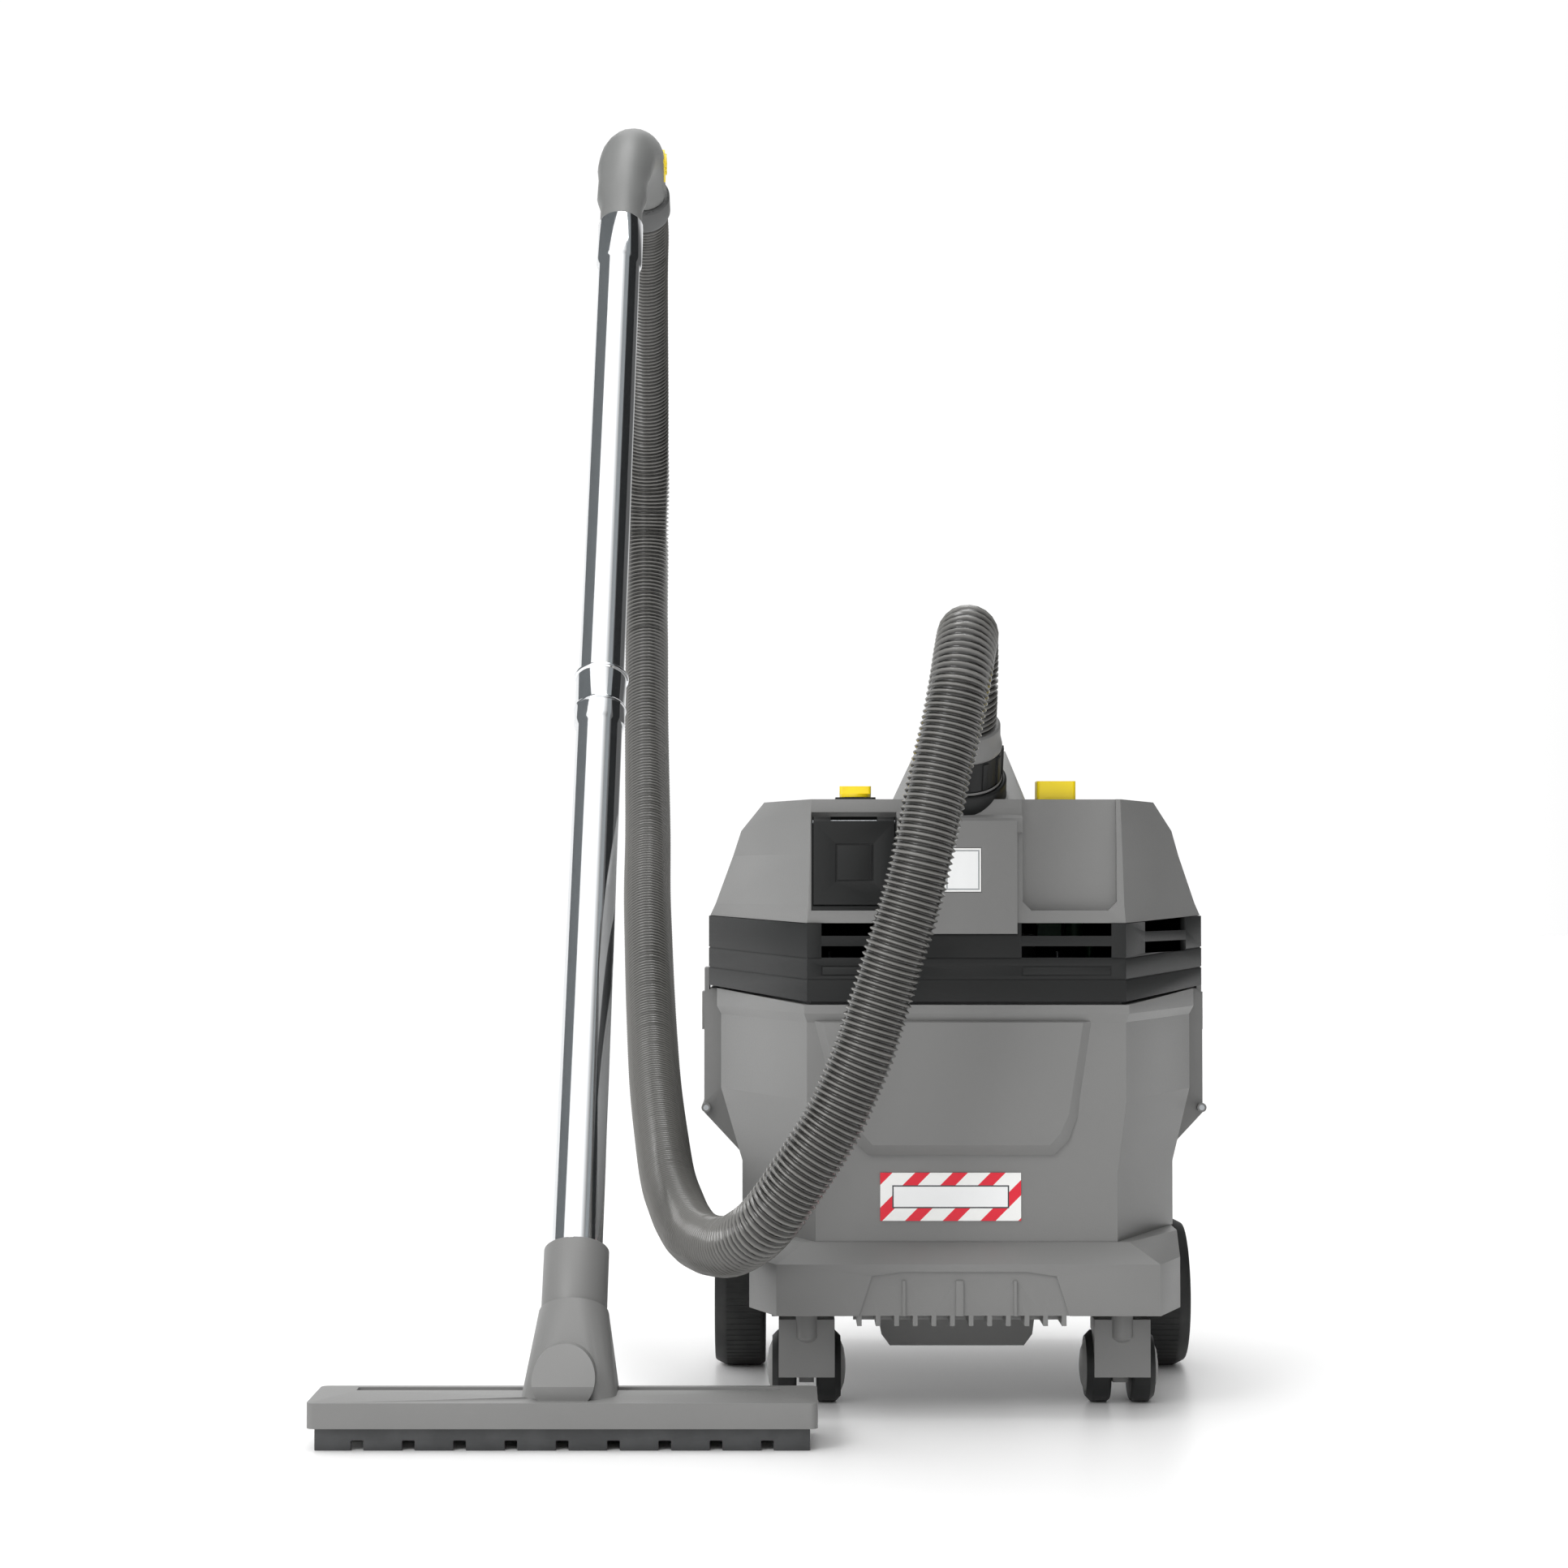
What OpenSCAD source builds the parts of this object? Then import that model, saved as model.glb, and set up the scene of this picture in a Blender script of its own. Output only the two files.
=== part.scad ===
// Wet and dry canister vacuum cleaner with a hose, a two-piece steel wand and a floor nozzle.
// Millimetres, +Z up, front towards -Y. Every module draws in the machine's own axes:
// X = 0 is the middle of the machine, Y = 0 its widest plane and Z = 0 the floor.

/* [Machine body] */
// Half of the width across the side wings of the container
wing_half = 185; // [183:0.5:188]
// Wall thickness of the moulded shells
shell_wall = 4; // [3.5:0.5:5]
// Height of the underside of the container above the floor
container_bottom = 118; // [116:1:120]
// Height of the lid's flat top
lid_top = 423; // [420:1:426]

/* [Running gear] */
// Diameter of the fixed rear wheels
rear_wheel_d = 110; // [104:1:112]
// Width of a rear wheel
rear_wheel_w = 38; // [32:1:39]
// Diameter of the twin castor wheels
castor_wheel_d = 50; // [46:1:52]
// Distance of each castor's stem from the middle plane
castor_x = 110; // [108:1:112]

/* [Suction side] */
// Outer diameter of the steel tubes
tube_d = 35; // [34:0.5:36]
// Outer diameter of the hose over its ribs
hose_d = 42; // [40:0.5:43]
// Visible length of each steel tube
tube_len = 490; // [480:1:500]
// Lean of the wand back from the vertical
wand_lean = 34; // [33:0.5:35]
// Width of the floor nozzle
nozzle_w = 329; // [320:1:330]

/* [Controls] */
// Travel of the filter-cleaning button
button_travel = 6; // [4:0.5:7]
// Travel of the air slider on the handle
slider_travel = 12; // [8:1:14]

/* [Hidden] */
$fn = 64;
eps = 0.01;
gap = 0.3;

// Middle of the whole object's box without its hose, in the machine's axes
frame_x = -123.05;
frame_y = 98.55;

mid_grey = "#7d7e7c";
dark_grey = "#4a4b4a";
black = "#1d1e1e";
yellow = "#ffe100";
chrome = "#d5d8da";
steel = "#9aa0a4";

// Heights of the body's levels
rim_z = 281;
band_bottom = 283.3;
band_top = 337;
side_rise = 7;
wing_bottom = 195;
wing_taper = 164;
front_y = -178;

// Hose inlet: centre of its collar's foot and its axis
inlet_at = [0, -150, 429];
inlet_tilt = 35;
duct_bend = 57;
duct_y = inlet_at[1] + duct_bend * sin(inlet_tilt);
duct_bend_z = inlet_at[2] - duct_bend * cos(inlet_tilt);

// Wand: middle of the neck socket's mouth, lean and lengths
socket_at = [-266, -213, 116];
bell_len = 45;
tube_wall = 1.2;
insert_len = 42;
wand_len = 2 * tube_len;

// Castors and rear wheels
castor_y = -146;
castor_trail = 27;
castor_gap = 14;
castor_tyre_w = 17;
rear_axle_y = 55;
rear_wheel_r = rear_wheel_d / 2;
rear_wheel_in = 139.5;
castor_r = castor_wheel_d / 2;
axle_r = 6;
chassis_z = 70;

// Nozzle
nozzle_x = -268.5;
nozzle_front = -318;
nozzle_back = -246;
nozzle_bottom = 14.5;
nozzle_top = 31;
roller_r = 8;

// Latches
latch_x = wing_half - 1.5;
latch_z = 199;
latch_pin_r = 2;

// Hose route, from the swivel on the handle down, round and up to the inlet
hose_route = [
    [-253, 505.6, 975.9], [-253, 532, 962.5], [-255, 570, 938], [-257, 628, 894], [-258, 664, 863],
    [-259, 698, 829], [-260, 727, 794], [-260, 747, 756], [-261, 756, 716], [-261, 752, 676],
    [-261, 740, 635], [-260, 720, 594], [-258, 672, 528], [-255, 617, 471], [-251, 542, 409],
    [-248, 462, 357], [-244, 397, 314], [-240, 337, 274], [-235, 267, 235], [-229, 187, 200],
    [-221, 102, 168], [-213, 22, 143], [-205, -33, 130], [-198, -78, 122], [-190, -121, 117],
    [-181, -153, 115], [-172, -183, 116], [-162, -209, 119], [-152, -231, 126], [-141, -247, 136],
    [-130, -257, 150], [-118, -263, 168], [-105, -267, 188], [-92, -269, 210], [-82, -270, 232],
    [-73, -271, 254], [-66, -271, 276], [-59, -271, 298], [-52, -272, 321], [-45, -272, 343],
    [-39, -272, 364], [-34, -272, 385], [-28, -269, 412], [-22, -265, 439], [-15, -261, 467],
    [-9, -256, 496], [-5, -246, 518], [-2, -232, 531], [-1, -216, 530], [0, -204, 514],
    [0, -196, 494.7], [0, -183, 476.1]
];

// ---- Shared shapes ----

module in_frame() {
    translate([-frame_x, -frame_y, 0])
        children();
}

// Closed eight-point outline: front, side and rear half-widths with their Y places
function outline(fw, fy, sw, s1, s2, rw, ry, t = 0) = [
    [-fw + 0.6 * t, fy + t], [fw - 0.6 * t, fy + t], [sw - t, s1 + 0.4 * t], [sw - t, s2 - 0.4 * t],
    [rw - 0.6 * t, ry - t], [-rw + 0.6 * t, ry - t], [-sw + t, s2 - 0.4 * t], [-sw + t, s1 + 0.4 * t]
];

// A ring of points at height z, raised by rise at the four side corners
function level(points, z, rise = 0) = [
    for (i = [0:len(points) - 1]) [points[i][0], points[i][1], z + ((i == 2 || i == 3 || i > 5) ? rise : 0)]
];

// Solid skin through stacked rings that have the same number of points
module loft(rings) {
    n = len(rings[0]);
    m = len(rings);
    polyhedron(
        points = [for (r = rings) for (p = r) p],
        faces = concat(
            [[for (i = [0:n - 1]) i]],
            [[for (i = [n - 1:-1:0]) (m - 1) * n + i]],
            [for (k = [0:m - 2]) for (i = [0:n - 1])
                [k * n + i, (k + 1) * n + i, (k + 1) * n + (i + 1) % n, k * n + (i + 1) % n]]
        )
    );
}

function unit(v) = v / norm(v);

// Smooth curve through four neighbouring points, u from 0 to 1 between b and c
function curve_at(a, b, c, d, u) = 0.5 * (
    2 * b + (c - a) * u + (2 * a - 5 * b + 4 * c - d) * u * u + (3 * b - a - 3 * c + d) * u * u * u
);

// The route's own points with extra ones between them
function smooth(route, steps) = [
    for (i = [0:len(route) - 2]) for (k = [0:steps - 1])
        curve_at(route[max(i - 1, 0)], route[i], route[i + 1], route[min(i + 2, len(route) - 1)], k / steps),
    route[len(route) - 1]
];

function heading(path, i) = unit(path[min(i + 1, len(path) - 1)] - path[max(i - 1, 0)]);

// Hollow round wall square to a path that never runs along X: its rings go out along
// the outside and back along the inside
module hollow_sweep(path, r_out, r_in, sides) {
    n = len(path);
    points = [
        for (i = [0:2 * n - 1])
            let (
                at = i < n ? i : 2 * n - 1 - i,
                r = i < n ? r_out[at] : r_in,
                t = heading(path, at),
                u = unit(cross(t, [1, 0, 0])),
                v = cross(t, u)
            )
            for (j = [0:sides - 1])
                path[at] + r * (u * cos(360 * j / sides) + v * sin(360 * j / sides))
    ];
    polyhedron(
        points = points,
        faces = [
            for (k = [0:2 * n - 1]) for (j = [0:sides - 1])
                let (next = (k + 1) % (2 * n))
                [k * sides + j, next * sides + j, next * sides + (j + 1) % sides, k * sides + (j + 1) % sides]
        ]
    );
}

// Moves children to the wand's axis, s along it from the neck socket's mouth
module on_wand(s) {
    translate(socket_at)
        rotate([-wand_lean, 0, 0])
            translate([0, 0, s])
                children();
}

// Moves children to the inlet's axis, s along it from the collar's foot
module on_inlet(s) {
    translate(inlet_at)
        rotate([inlet_tilt, 0, 0])
            translate([0, 0, s])
                children();
}

module tube(r_out, r_in, length) {
    difference() {
        cylinder(r = r_out, h = length);
        translate([0, 0, -eps])
            cylinder(r = r_in, h = length + 2 * eps);
    }
}

// Box with vertical edges rounded to radius r, its foot centred on X and Y
module rounded_box(size, r) {
    linear_extrude(size[2])
        rounded_rect(size[0], size[1], r);
}

module rounded_rect(w, d, r) {
    square([w - 2 * r, d], center = true);
    square([w, d - 2 * r], center = true);
    for (x = [-1, 1])
        for (y = [-1, 1])
            translate([x * (w / 2 - r), y * (d / 2 - r)])
                circle(r, $fn = 32);
}

// ---- Container and chassis ----

container_floor = container_bottom + shell_wall;

function lower_ring(z, t) = level(outline(104, -174, 156, -60, 96, 100, 186, t), z);
function upper_ring(z, t, rise = 0) = level(outline(110, front_y, 172, -34, 112, 112, 198, t), z, rise);

// Corners of the front's raised panel: X, Z, and how far each moves in X and Z up its sloped edge
panel_points = [
    [-105, 270, 6, -1], [86, 270, -6, -1], [76, 204, -6, 2], [70, 188, -6, 5], [60, 178, -3, 7],
    [-68, 178, 3, 7], [-78, 188, 6, 5], [-88, 206, 6, 2]
];
panel_rise = 4.5;

module wings(t, top) {
    // Raised bands on both sides, square at the top and tapered away at the bottom
    for (s = [-1, 1])
        rotate([90, 0, 0])
            translate([0, 0, -98])
                linear_extrude(106 + t)
                    polygon([
                        [s * 120, wing_taper - 14], [s * (156 - t), wing_taper], [s * (wing_half - t), wing_bottom],
                        [s * (wing_half - t), top - 5], [s * (wing_half - 5), top], [s * 120, top]
                    ]);
}

module container_skin(t, bottom) {
    loft([
        lower_ring(bottom, t), lower_ring(wing_taper, t), upper_ring(wing_bottom + 20, t),
        upper_ring(rim_z - 12, t), upper_ring(rim_z - 6, t - 3), upper_ring(rim_z - 3, t - 3),
        upper_ring(rim_z, t - 3, side_rise)
    ]);
}

module container() {
    color(mid_grey)
        difference() {
            union() {
                container_skin(0, container_bottom);
                wings(0, rim_z + side_rise - 1);
                front_panel();
                // Ears that hold the latch pins
                for (s = [-1, 1])
                    for (y = [-8, 48])
                        translate([s * latch_x, y, latch_z])
                            rotate([90, 0, 0])
                                cylinder(r = 3.4, h = 8, $fn = 40);
            }
            loft([
                lower_ring(container_floor, shell_wall), lower_ring(wing_taper, shell_wall),
                upper_ring(wing_bottom + 20, shell_wall), upper_ring(rim_z - 12, shell_wall),
                upper_ring(rim_z + 12, shell_wall)
            ]);
            // Pockets of the latches and bores of their pins
            for (s = [-1, 1]) {
                translate([s > 0 ? wing_half - 4 : -wing_half - 6, -6, latch_z])
                    cube([10, 44, 120]);
                for (part = [[38, 44, 3.9], [50, 68, latch_pin_r]])
                    translate([s * latch_x, part[0], latch_z])
                        rotate([90, 0, 0])
                            cylinder(r = part[2], h = part[1], $fn = 40);
            }
            // Seat of the label
            translate([-60, -190, 132])
                cube([98, 15.6, 34]);
        }
}

// Raised panel of the container's front, with sloped edges
module front_panel() {
    loft([
        [for (p = panel_points) [p[0] + p[2], front_y - panel_rise, p[1] + p[3]]],
        [for (p = panel_points) [p[0], front_y, p[1]]],
        [for (p = panel_points) [p[0], front_y + 3.4, p[1]]]
    ]);
}

module label_plate() {
    color("white")
        translate([-59.5, -175.2, 132.5])
            cube([97, 0.8, 33]);
}

module chassis_block(t, z_low, z_high) {
    loft([
        level(outline(131, -196, 150, -150, 170, 118, 190, t), z_low),
        level(outline(131, -196, 150, -150, 170, 118, 190, t), 105 - t * 0.5),
        level(outline(112, -176, 154, -100, 130, 110, 188, t), z_high)
    ]);
}

module chassis() {
    color(mid_grey) {
        difference() {
            chassis_block(0, chassis_z, container_bottom);
            chassis_block(4, chassis_z - 1, container_bottom - 5);
            // Wells for the rear wheels
            for (s = [-1, 1])
                translate([s > 0 ? 135 : -185, rear_axle_y - 63, 50])
                    cube([50, 126, 90]);
            // Shallow panel on the bumper
            rotate([90, 0, 0])
                translate([0, 0, 194])
                    linear_extrude(10)
                        polygon([[-78, 60], [72, 60], [60, 97], [40, 100], [-46, 100], [-66, 97]]);
        }
        // Upright ribs inside the bumper's panel
        for (x = [-44, -6, 32])
            translate([x - (x == -6 ? 2.5 : 1), -196, chassis_z])
                cube([x == -6 ? 5 : 2, 3, 24]);
        // Small ribs under the bumper
        for (i = [0:11])
            translate([-76 + i * 12.7, -194, 63])
                cube([3.2, 34, chassis_z - 63]);
        translate([-78, -162, 63])
            cube([146, 4, 12]);
        well_walls();
        castor_posts();
        difference() {
            belly();
            translate([-150, rear_axle_y, rear_wheel_r])
                rotate([0, 90, 0])
                    cylinder(r = axle_r, h = 300);
        }
    }
}

module well_walls() {
    // Walls that close the chassis towards the wheels, bored for the axle
    for (s = [-1, 1])
        difference() {
            translate([s > 0 ? 131 : -135, rear_axle_y - 63, 42])
                cube([4, 126, 74]);
            translate([s * 133 - 5, rear_axle_y, rear_wheel_r])
                rotate([0, 90, 0])
                    cylinder(r = axle_r, h = 10);
            translate([s * 133 - 5, rear_axle_y - 64, 30])
                rotate([35, 0, 0])
                    cube([10, 60, 30]);
        }
}

module castor_posts() {
    for (s = [-1, 1])
        translate([s * castor_x, castor_y, 66.5])
            tube(11, 5.2, container_bottom - 66.5 - 1);
}

module belly() {
    // Block under the middle, hollow from above
    difference() {
        rotate([90, 0, 0])
            translate([0, 0, -60])
                linear_extrude(145)
                    polygon([[-60, 72], [-56, 42], [-50, 34], [46, 34], [52, 42], [56, 72]]);
        translate([-48, -80, 38])
            cube([92, 135, 40]);
    }
    for (y = [-84, 56])
        translate([-131, y, 64])
            cube([262, 4, 10]);
}

module rear_axle() {
    color(steel)
        translate([-168, rear_axle_y, rear_wheel_r])
            rotate([0, 90, 0])
                cylinder(r = axle_r, h = 336);
}

module latch_pins() {
    color(steel)
        for (s = [-1, 1])
            translate([s * latch_x, 48, latch_z])
                rotate([90, 0, 0])
                    cylinder(r = latch_pin_r, h = 64, $fn = 40);
}

module latch(s) {
    color(mid_grey)
        difference() {
            union() {
                translate([s * latch_x, 35.5, latch_z])
                    rotate([90, 0, 0])
                        cylinder(r = 3.4, h = 39, $fn = 40);
                translate([s > 0 ? wing_half - 3.6 : -wing_half + 0.1, -4, latch_z])
                    cube([3.5, 40, 103]);
                // Finger tab
                translate([s > 0 ? wing_half - 0.2 : -wing_half - 1.9, 4, 256])
                    cube([2.1, 24, 28]);
            }
            translate([s * latch_x, 40, latch_z])
                rotate([90, 0, 0])
                    cylinder(r = latch_pin_r + 0.05, h = 50, $fn = 40);
        }
}

// ---- Wheels ----

module rear_wheel(s) {
    color(black)
        translate([s > 0 ? rear_wheel_in : -rear_wheel_in - rear_wheel_w, rear_axle_y, rear_wheel_r])
            rotate([0, 90, 0])
                mirror([0, 0, s > 0 ? 0 : 1])
                    translate([0, 0, s > 0 ? 0 : -rear_wheel_w])
                        rotate_extrude($fn = 96)
                            polygon([
                                [axle_r + 0.05, 0], [14, 0], [14, 12], [rear_wheel_r - 12, 12],
                                [rear_wheel_r - 12, 1], [rear_wheel_r - 2, 0], [rear_wheel_r, 3],
                                [rear_wheel_r, rear_wheel_w - 8], [rear_wheel_r - 4, rear_wheel_w],
                                [rear_wheel_r - 12, rear_wheel_w], [rear_wheel_r - 16, rear_wheel_w - 5],
                                [16, rear_wheel_w - 5], [axle_r + 0.05, rear_wheel_w - 5]
                            ]);
}

module wheel_cap(s) {
    color(dark_grey)
        translate([s * (rear_wheel_in + rear_wheel_w - 5), rear_axle_y, rear_wheel_r])
            rotate([0, s * 90, 0])
                rotate_extrude()
                    polygon([[0, 0], [15, 0], [15, 2], [12, 4], [0, 4.6]]);
}

module castor_fork(s) {
    color(mid_grey)
        translate([s * castor_x, castor_y, 0]) {
            // Rounded boss and the stem that turns in the chassis
            intersection() {
                translate([0, 0, 54])
                    sphere(r = 9.2);
                cylinder(r = 7.5, h = 54);
            }
            translate([0, 0, 54 - eps])
                cylinder(r = 7.5, h = 12.2);
            translate([0, 0, 60])
                cylinder(r = 5.15, h = 50);
            // Hood over the front of the wheels
            difference() {
                translate([-19.5, -2, 21])
                    cube([39, castor_trail + 4, 40]);
                for (side = [-1, 1])
                    translate([side * (castor_gap / 2 - 1.5) + (side > 0 ? 0 : -30), castor_trail, castor_r])
                        rotate([0, 90, 0])
                            cylinder(r = castor_r + 1.2, h = 30);
                translate([-8, castor_trail, castor_r])
                    rotate([0, 90, 0])
                        cylinder(r = 3.05, h = 16);
                translate([-25, castor_trail + 8, 50])
                    rotate([35, 0, 0])
                        cube([50, 20, 30]);
            }
            // Bored web between the wheels
            difference() {
                translate([-5.2, castor_trail - 12, 15])
                    cube([10.4, 26, 34]);
                translate([-6, castor_trail, castor_r])
                    rotate([0, 90, 0])
                        cylinder(r = 3.05, h = 12);
            }
        }
}

module castor_wheels(s) {
    color(black)
        translate([s * castor_x, castor_y + castor_trail, castor_r])
            rotate([0, 90, 0]) {
                for (side = [0, 1])
                    mirror([0, 0, side])
                        translate([0, 0, castor_gap / 2])
                            rotate_extrude($fn = 72)
                                polygon([
                                    [3, 0], [castor_r - 2, 0], [castor_r, 2], [castor_r, castor_tyre_w - 4],
                                    [castor_r - 4, castor_tyre_w], [castor_r - 7, castor_tyre_w],
                                    [castor_r - 7, castor_tyre_w - 2], [3, castor_tyre_w - 2]
                                ]);
                translate([0, 0, -castor_gap / 2 - 12])
                    cylinder(r = 3, h = castor_gap + 24);
            }
}

module castor_caps(s) {
    color(mid_grey)
        translate([s * castor_x, castor_y + castor_trail, castor_r])
            rotate([0, 90, 0])
                for (side = [0, 1])
                    mirror([0, 0, side])
                        translate([0, 0, castor_gap / 2 + castor_tyre_w - 2])
                            rotate_extrude($fn = 64)
                                polygon([[0, 0], [castor_r - 7.1, 0], [castor_r - 7.1, 2], [12, 4.4], [5, 5.4], [0, 5.6]]);
}

// ---- Head ----

function head_rings(t) = [
    level(outline(110, front_y, 180, -34, 112, 112, 198, t), band_top + 0.4, side_rise - 3),
    level(outline(109, front_y + 1, 176, -36, 110, 111, 196, t), 350),
    level(outline(108, front_y + 2, 163, -46, 106, 109, 190, t), 385),
    level(outline(107.5, front_y + 3.5, 157, -54, 102, 108, 186, t), 403),
    level(outline(107, front_y + 5, 140, -86, 84, 104, 172, t), lid_top - (t > 0 ? t : 0))
];

module hump(t) {
    // Wedge that carries the inlet, square to its axis in front
    hull()
        for (p = [
            [-50 + t, -179 + t, 400], [50 - t, -179 + t, 400], [-53 + t, 26 - t, 405], [53 - t, 26 - t, 405],
            [-44 + t, -177 + t, 410 - t], [44 - t, -177 + t, 410 - t],
            [-32 + t, -107, 459 - t], [32 - t, -107, 459 - t],
            [-30 + t, -62, 459 - t], [30 - t, -62, 459 - t], [-46 + t, 10 - t, 424 - t], [46 - t, 10 - t, 424 - t]
        ])
            translate(p)
                cube(0.02, center = true);
}

module head_cover() {
    color(mid_grey) {
        difference() {
            union() {
                loft(head_rings(0));
                hump(0);
                // Middle column of the front
                translate([-48, -181, 330])
                    cube([83, 30, 78]);
            }
            difference() {
                loft(concat(
                    [level(outline(110, front_y, 180, -34, 112, 112, 198, shell_wall), 315)],
                    head_rings(shell_wall)
                ));
                // Walls behind the socket and behind the right panel
                translate([-112, -190, 338])
                    cube([74, 46, 80]);
                translate([32, -190, 342])
                    cube([78, 26, 100]);
            }
            translate([-44, -177, 329])
                cube([75, 30, 76]);
            // Pocket of the socket
            translate([-107, -200, 346])
                cube([59, 50, 65]);
            // Room for the flap's top edge as it swings
            translate([-107, -200, 410])
                cube([59, 31, 4]);
            // Right front panel, open at the top
            rotate([90, 0, 0])
                translate([0, 0, 168])
                    linear_extrude(30)
                        polygon([[39, 352], [45, 346], [98, 346], [104, 352], [104, 424], [39, 424]]);
            // Seat of the badge
            translate([-15.5, -190, 358.5])
                cube([26, 10.2, 31]);
            // Hole of the inlet duct and seat of its collar
            on_inlet(-40)
                cylinder(r = 22.5, h = 60);
            on_inlet(-4.05)
                cylinder(r = 29.8, h = 40);
            // Seats of the knob and the button
            translate([-76, -150, lid_top - 12])
                cylinder(r = 9, h = 20);
            translate([49.5, -160.5, lid_top - 12])
                cube([29, 25, 20]);
            carry_recess();
            // Hole of the cable gland
            translate([0, 205, 362])
                rotate([90, 0, 0])
                    cylinder(r = 9, h = 30);
        }
        // Walls of the finger recess and the grip bar across it
        difference() {
            translate([-58, 58, lid_top - 50])
                cube([116, 96, 49.9]);
            carry_recess();
        }
        translate([-55, 106, lid_top - 9.5])
            rotate([0, 90, 0])
                cylinder(r = 8.5, h = 110);
        // Shelf under the cleaning button's spring
        translate([46, -166, lid_top - 28])
            cube([36, 34, 3.9]);
    }
}

module carry_recess() {
    // Finger recess in the lid's top
    translate([-54, 62, lid_top - 46])
        cube([108, 88, 60]);
}

module vent_slots() {
    // Two rows of slots in the front and in the right chamfer
    for (row = [[band_top - 8.5, 14], [band_top - 23.5, 8]]) {
        translate([38, -190, row[0]])
            cube([62, 30, row[1]]);
        translate([-100, -190, row[0]])
            cube([60, 30, row[1]]);
    }
}

module band_rings(t, low, high, rise_low, rise_high) {
    loft([
        level(outline(110, front_y - 1, 181, -34, 112, 113, 199, t), low, rise_low),
        level(outline(110, front_y - 1, 181, -34, 112, 113, 199, t), high, rise_high)
    ]);
}

module vent_band() {
    color(black)
        difference() {
            band_rings(0, band_bottom, band_top, side_rise, side_rise - 3);
            band_rings(4, band_bottom - 10, band_top + 10, side_rise, side_rise - 3);
            vent_slots();
            // Slots of the right chamfer
            for (row = [[band_top - 6, 14], [band_top - 21, 8]])
                translate([110, front_y, row[0]])
                    rotate([0, 0, 64.2])
                        translate([38, -12, 0])
                            cube([88, 24, row[1]]);
            // Blind slots under the open ones
            for (x = [-100, 38])
                translate([x, front_y - 4, 301])
                    difference() {
                        cube([62, 3.8, 7]);
                        translate([1, -1, 1])
                            cube([60, 6, 5]);
                    }
            // Notch over the middle column
            translate([-48.3, -200, 329.7])
                cube([83.6, 45, 12]);
            // Two fine grooves all round
            for (z = [298, 312.5])
                difference() {
                    band_rings(-1, z, z + 1, side_rise - 2, side_rise - 2);
                    band_rings(0.7, z - 2, z + 3, side_rise - 2, side_rise - 2);
                }
        }
}

screw_places = [[-90, -130], [90, -130], [-90, 140], [90, 140]];

module head_base() {
    color(dark_grey)
        difference() {
            band_rings(4, 293, 297, 0, 0);
            translate([0, 10, 290])
                cylinder(r = 40, h = 10);
            translate([0, duct_y, 290])
                cylinder(r = 18.6, h = 10);
            for (p = screw_places)
                translate([p[0], p[1], 290])
                    cylinder(r = 1.9, h = 10);
        }
}

module rim_gasket() {
    color(black)
        difference() {
            loft([
                level(outline(110, front_y, 172, -34, 112, 112, 198, 4.5), 272),
                level(outline(110, front_y, 172, -34, 112, 112, 198, 4.5), 293)
            ]);
            loft([
                level(outline(110, front_y, 172, -34, 112, 112, 198, 7.5), 271),
                level(outline(110, front_y, 172, -34, 112, 112, 198, 7.5), 294)
            ]);
        }
}

module head_screws() {
    color(steel)
        for (p = screw_places)
            translate([p[0], p[1], 290]) {
                cylinder(r = 4, h = 3);
                translate([0, 0, 3])
                    cylinder(r = 1.9, h = 18);
            }
}

module badge_plate() {
    color("white")
        translate([-15, -180.8, 359])
            cube([25, 1, 30]);
}

module inlet_duct() {
    // Bent duct from the collar down to the container
    color(dark_grey)
        difference() {
            duct_run(20.5, 18.5, 0);
            duct_run(17.5, 16.5, 1);
        }
}

module duct_run(r_top, r_down, more) {
    on_inlet(-duct_bend)
        cylinder(r = r_top, h = duct_bend + more);
    on_inlet(-duct_bend)
        sphere(r = r_top);
    translate([0, duct_y, 274 - more])
        cylinder(r = r_down, h = duct_bend_z - 274 + more);
}

module inlet_collar() {
    color(black)
        on_inlet(0)
            rotate_extrude()
                polygon([[22.6, -4], [28, -4], [29.5, -2], [29.5, 12], [28.5, 13.2], [26.5, 13.2], [26.5, 2], [22.6, 2]]);
}

module hose_coupling() {
    color(black)
        on_inlet(0) {
            difference() {
                union() {
                    translate([0, 0, 2.3])
                        cylinder(r = 25.9, h = 9);
                    translate([0, 0, 11])
                        cylinder(r = 25.2, h = 27);
                    // Grip ribs
                    for (a = [0:30:359])
                        rotate([0, 0, a])
                            translate([23.6, -2.2, 16])
                                cube([3, 4.4, 21]);
                }
                translate([0, 0, -20])
                    cylinder(r = 17.5, h = 80);
            }
            tube(17.2, 15.4, 20);
            translate([0, 0, 18])
                tube(18, 15.4, 3);
            translate([0, 0, -18])
                tube(17.2, 15.4, 19);
        }
}

module coupling_ring() {
    color(mid_grey) {
        on_inlet(38)
            rotate_extrude()
                polygon([[17.5, 0], [25, 0], [25.4, 2], [23.8, 9], [23.5, 18], [22, 19], [17.5, 19]]);
        on_inlet(13.5)
            tube(26.3, 25.95, 1.8);
    }
}

// ---- Socket and controls ----

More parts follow.
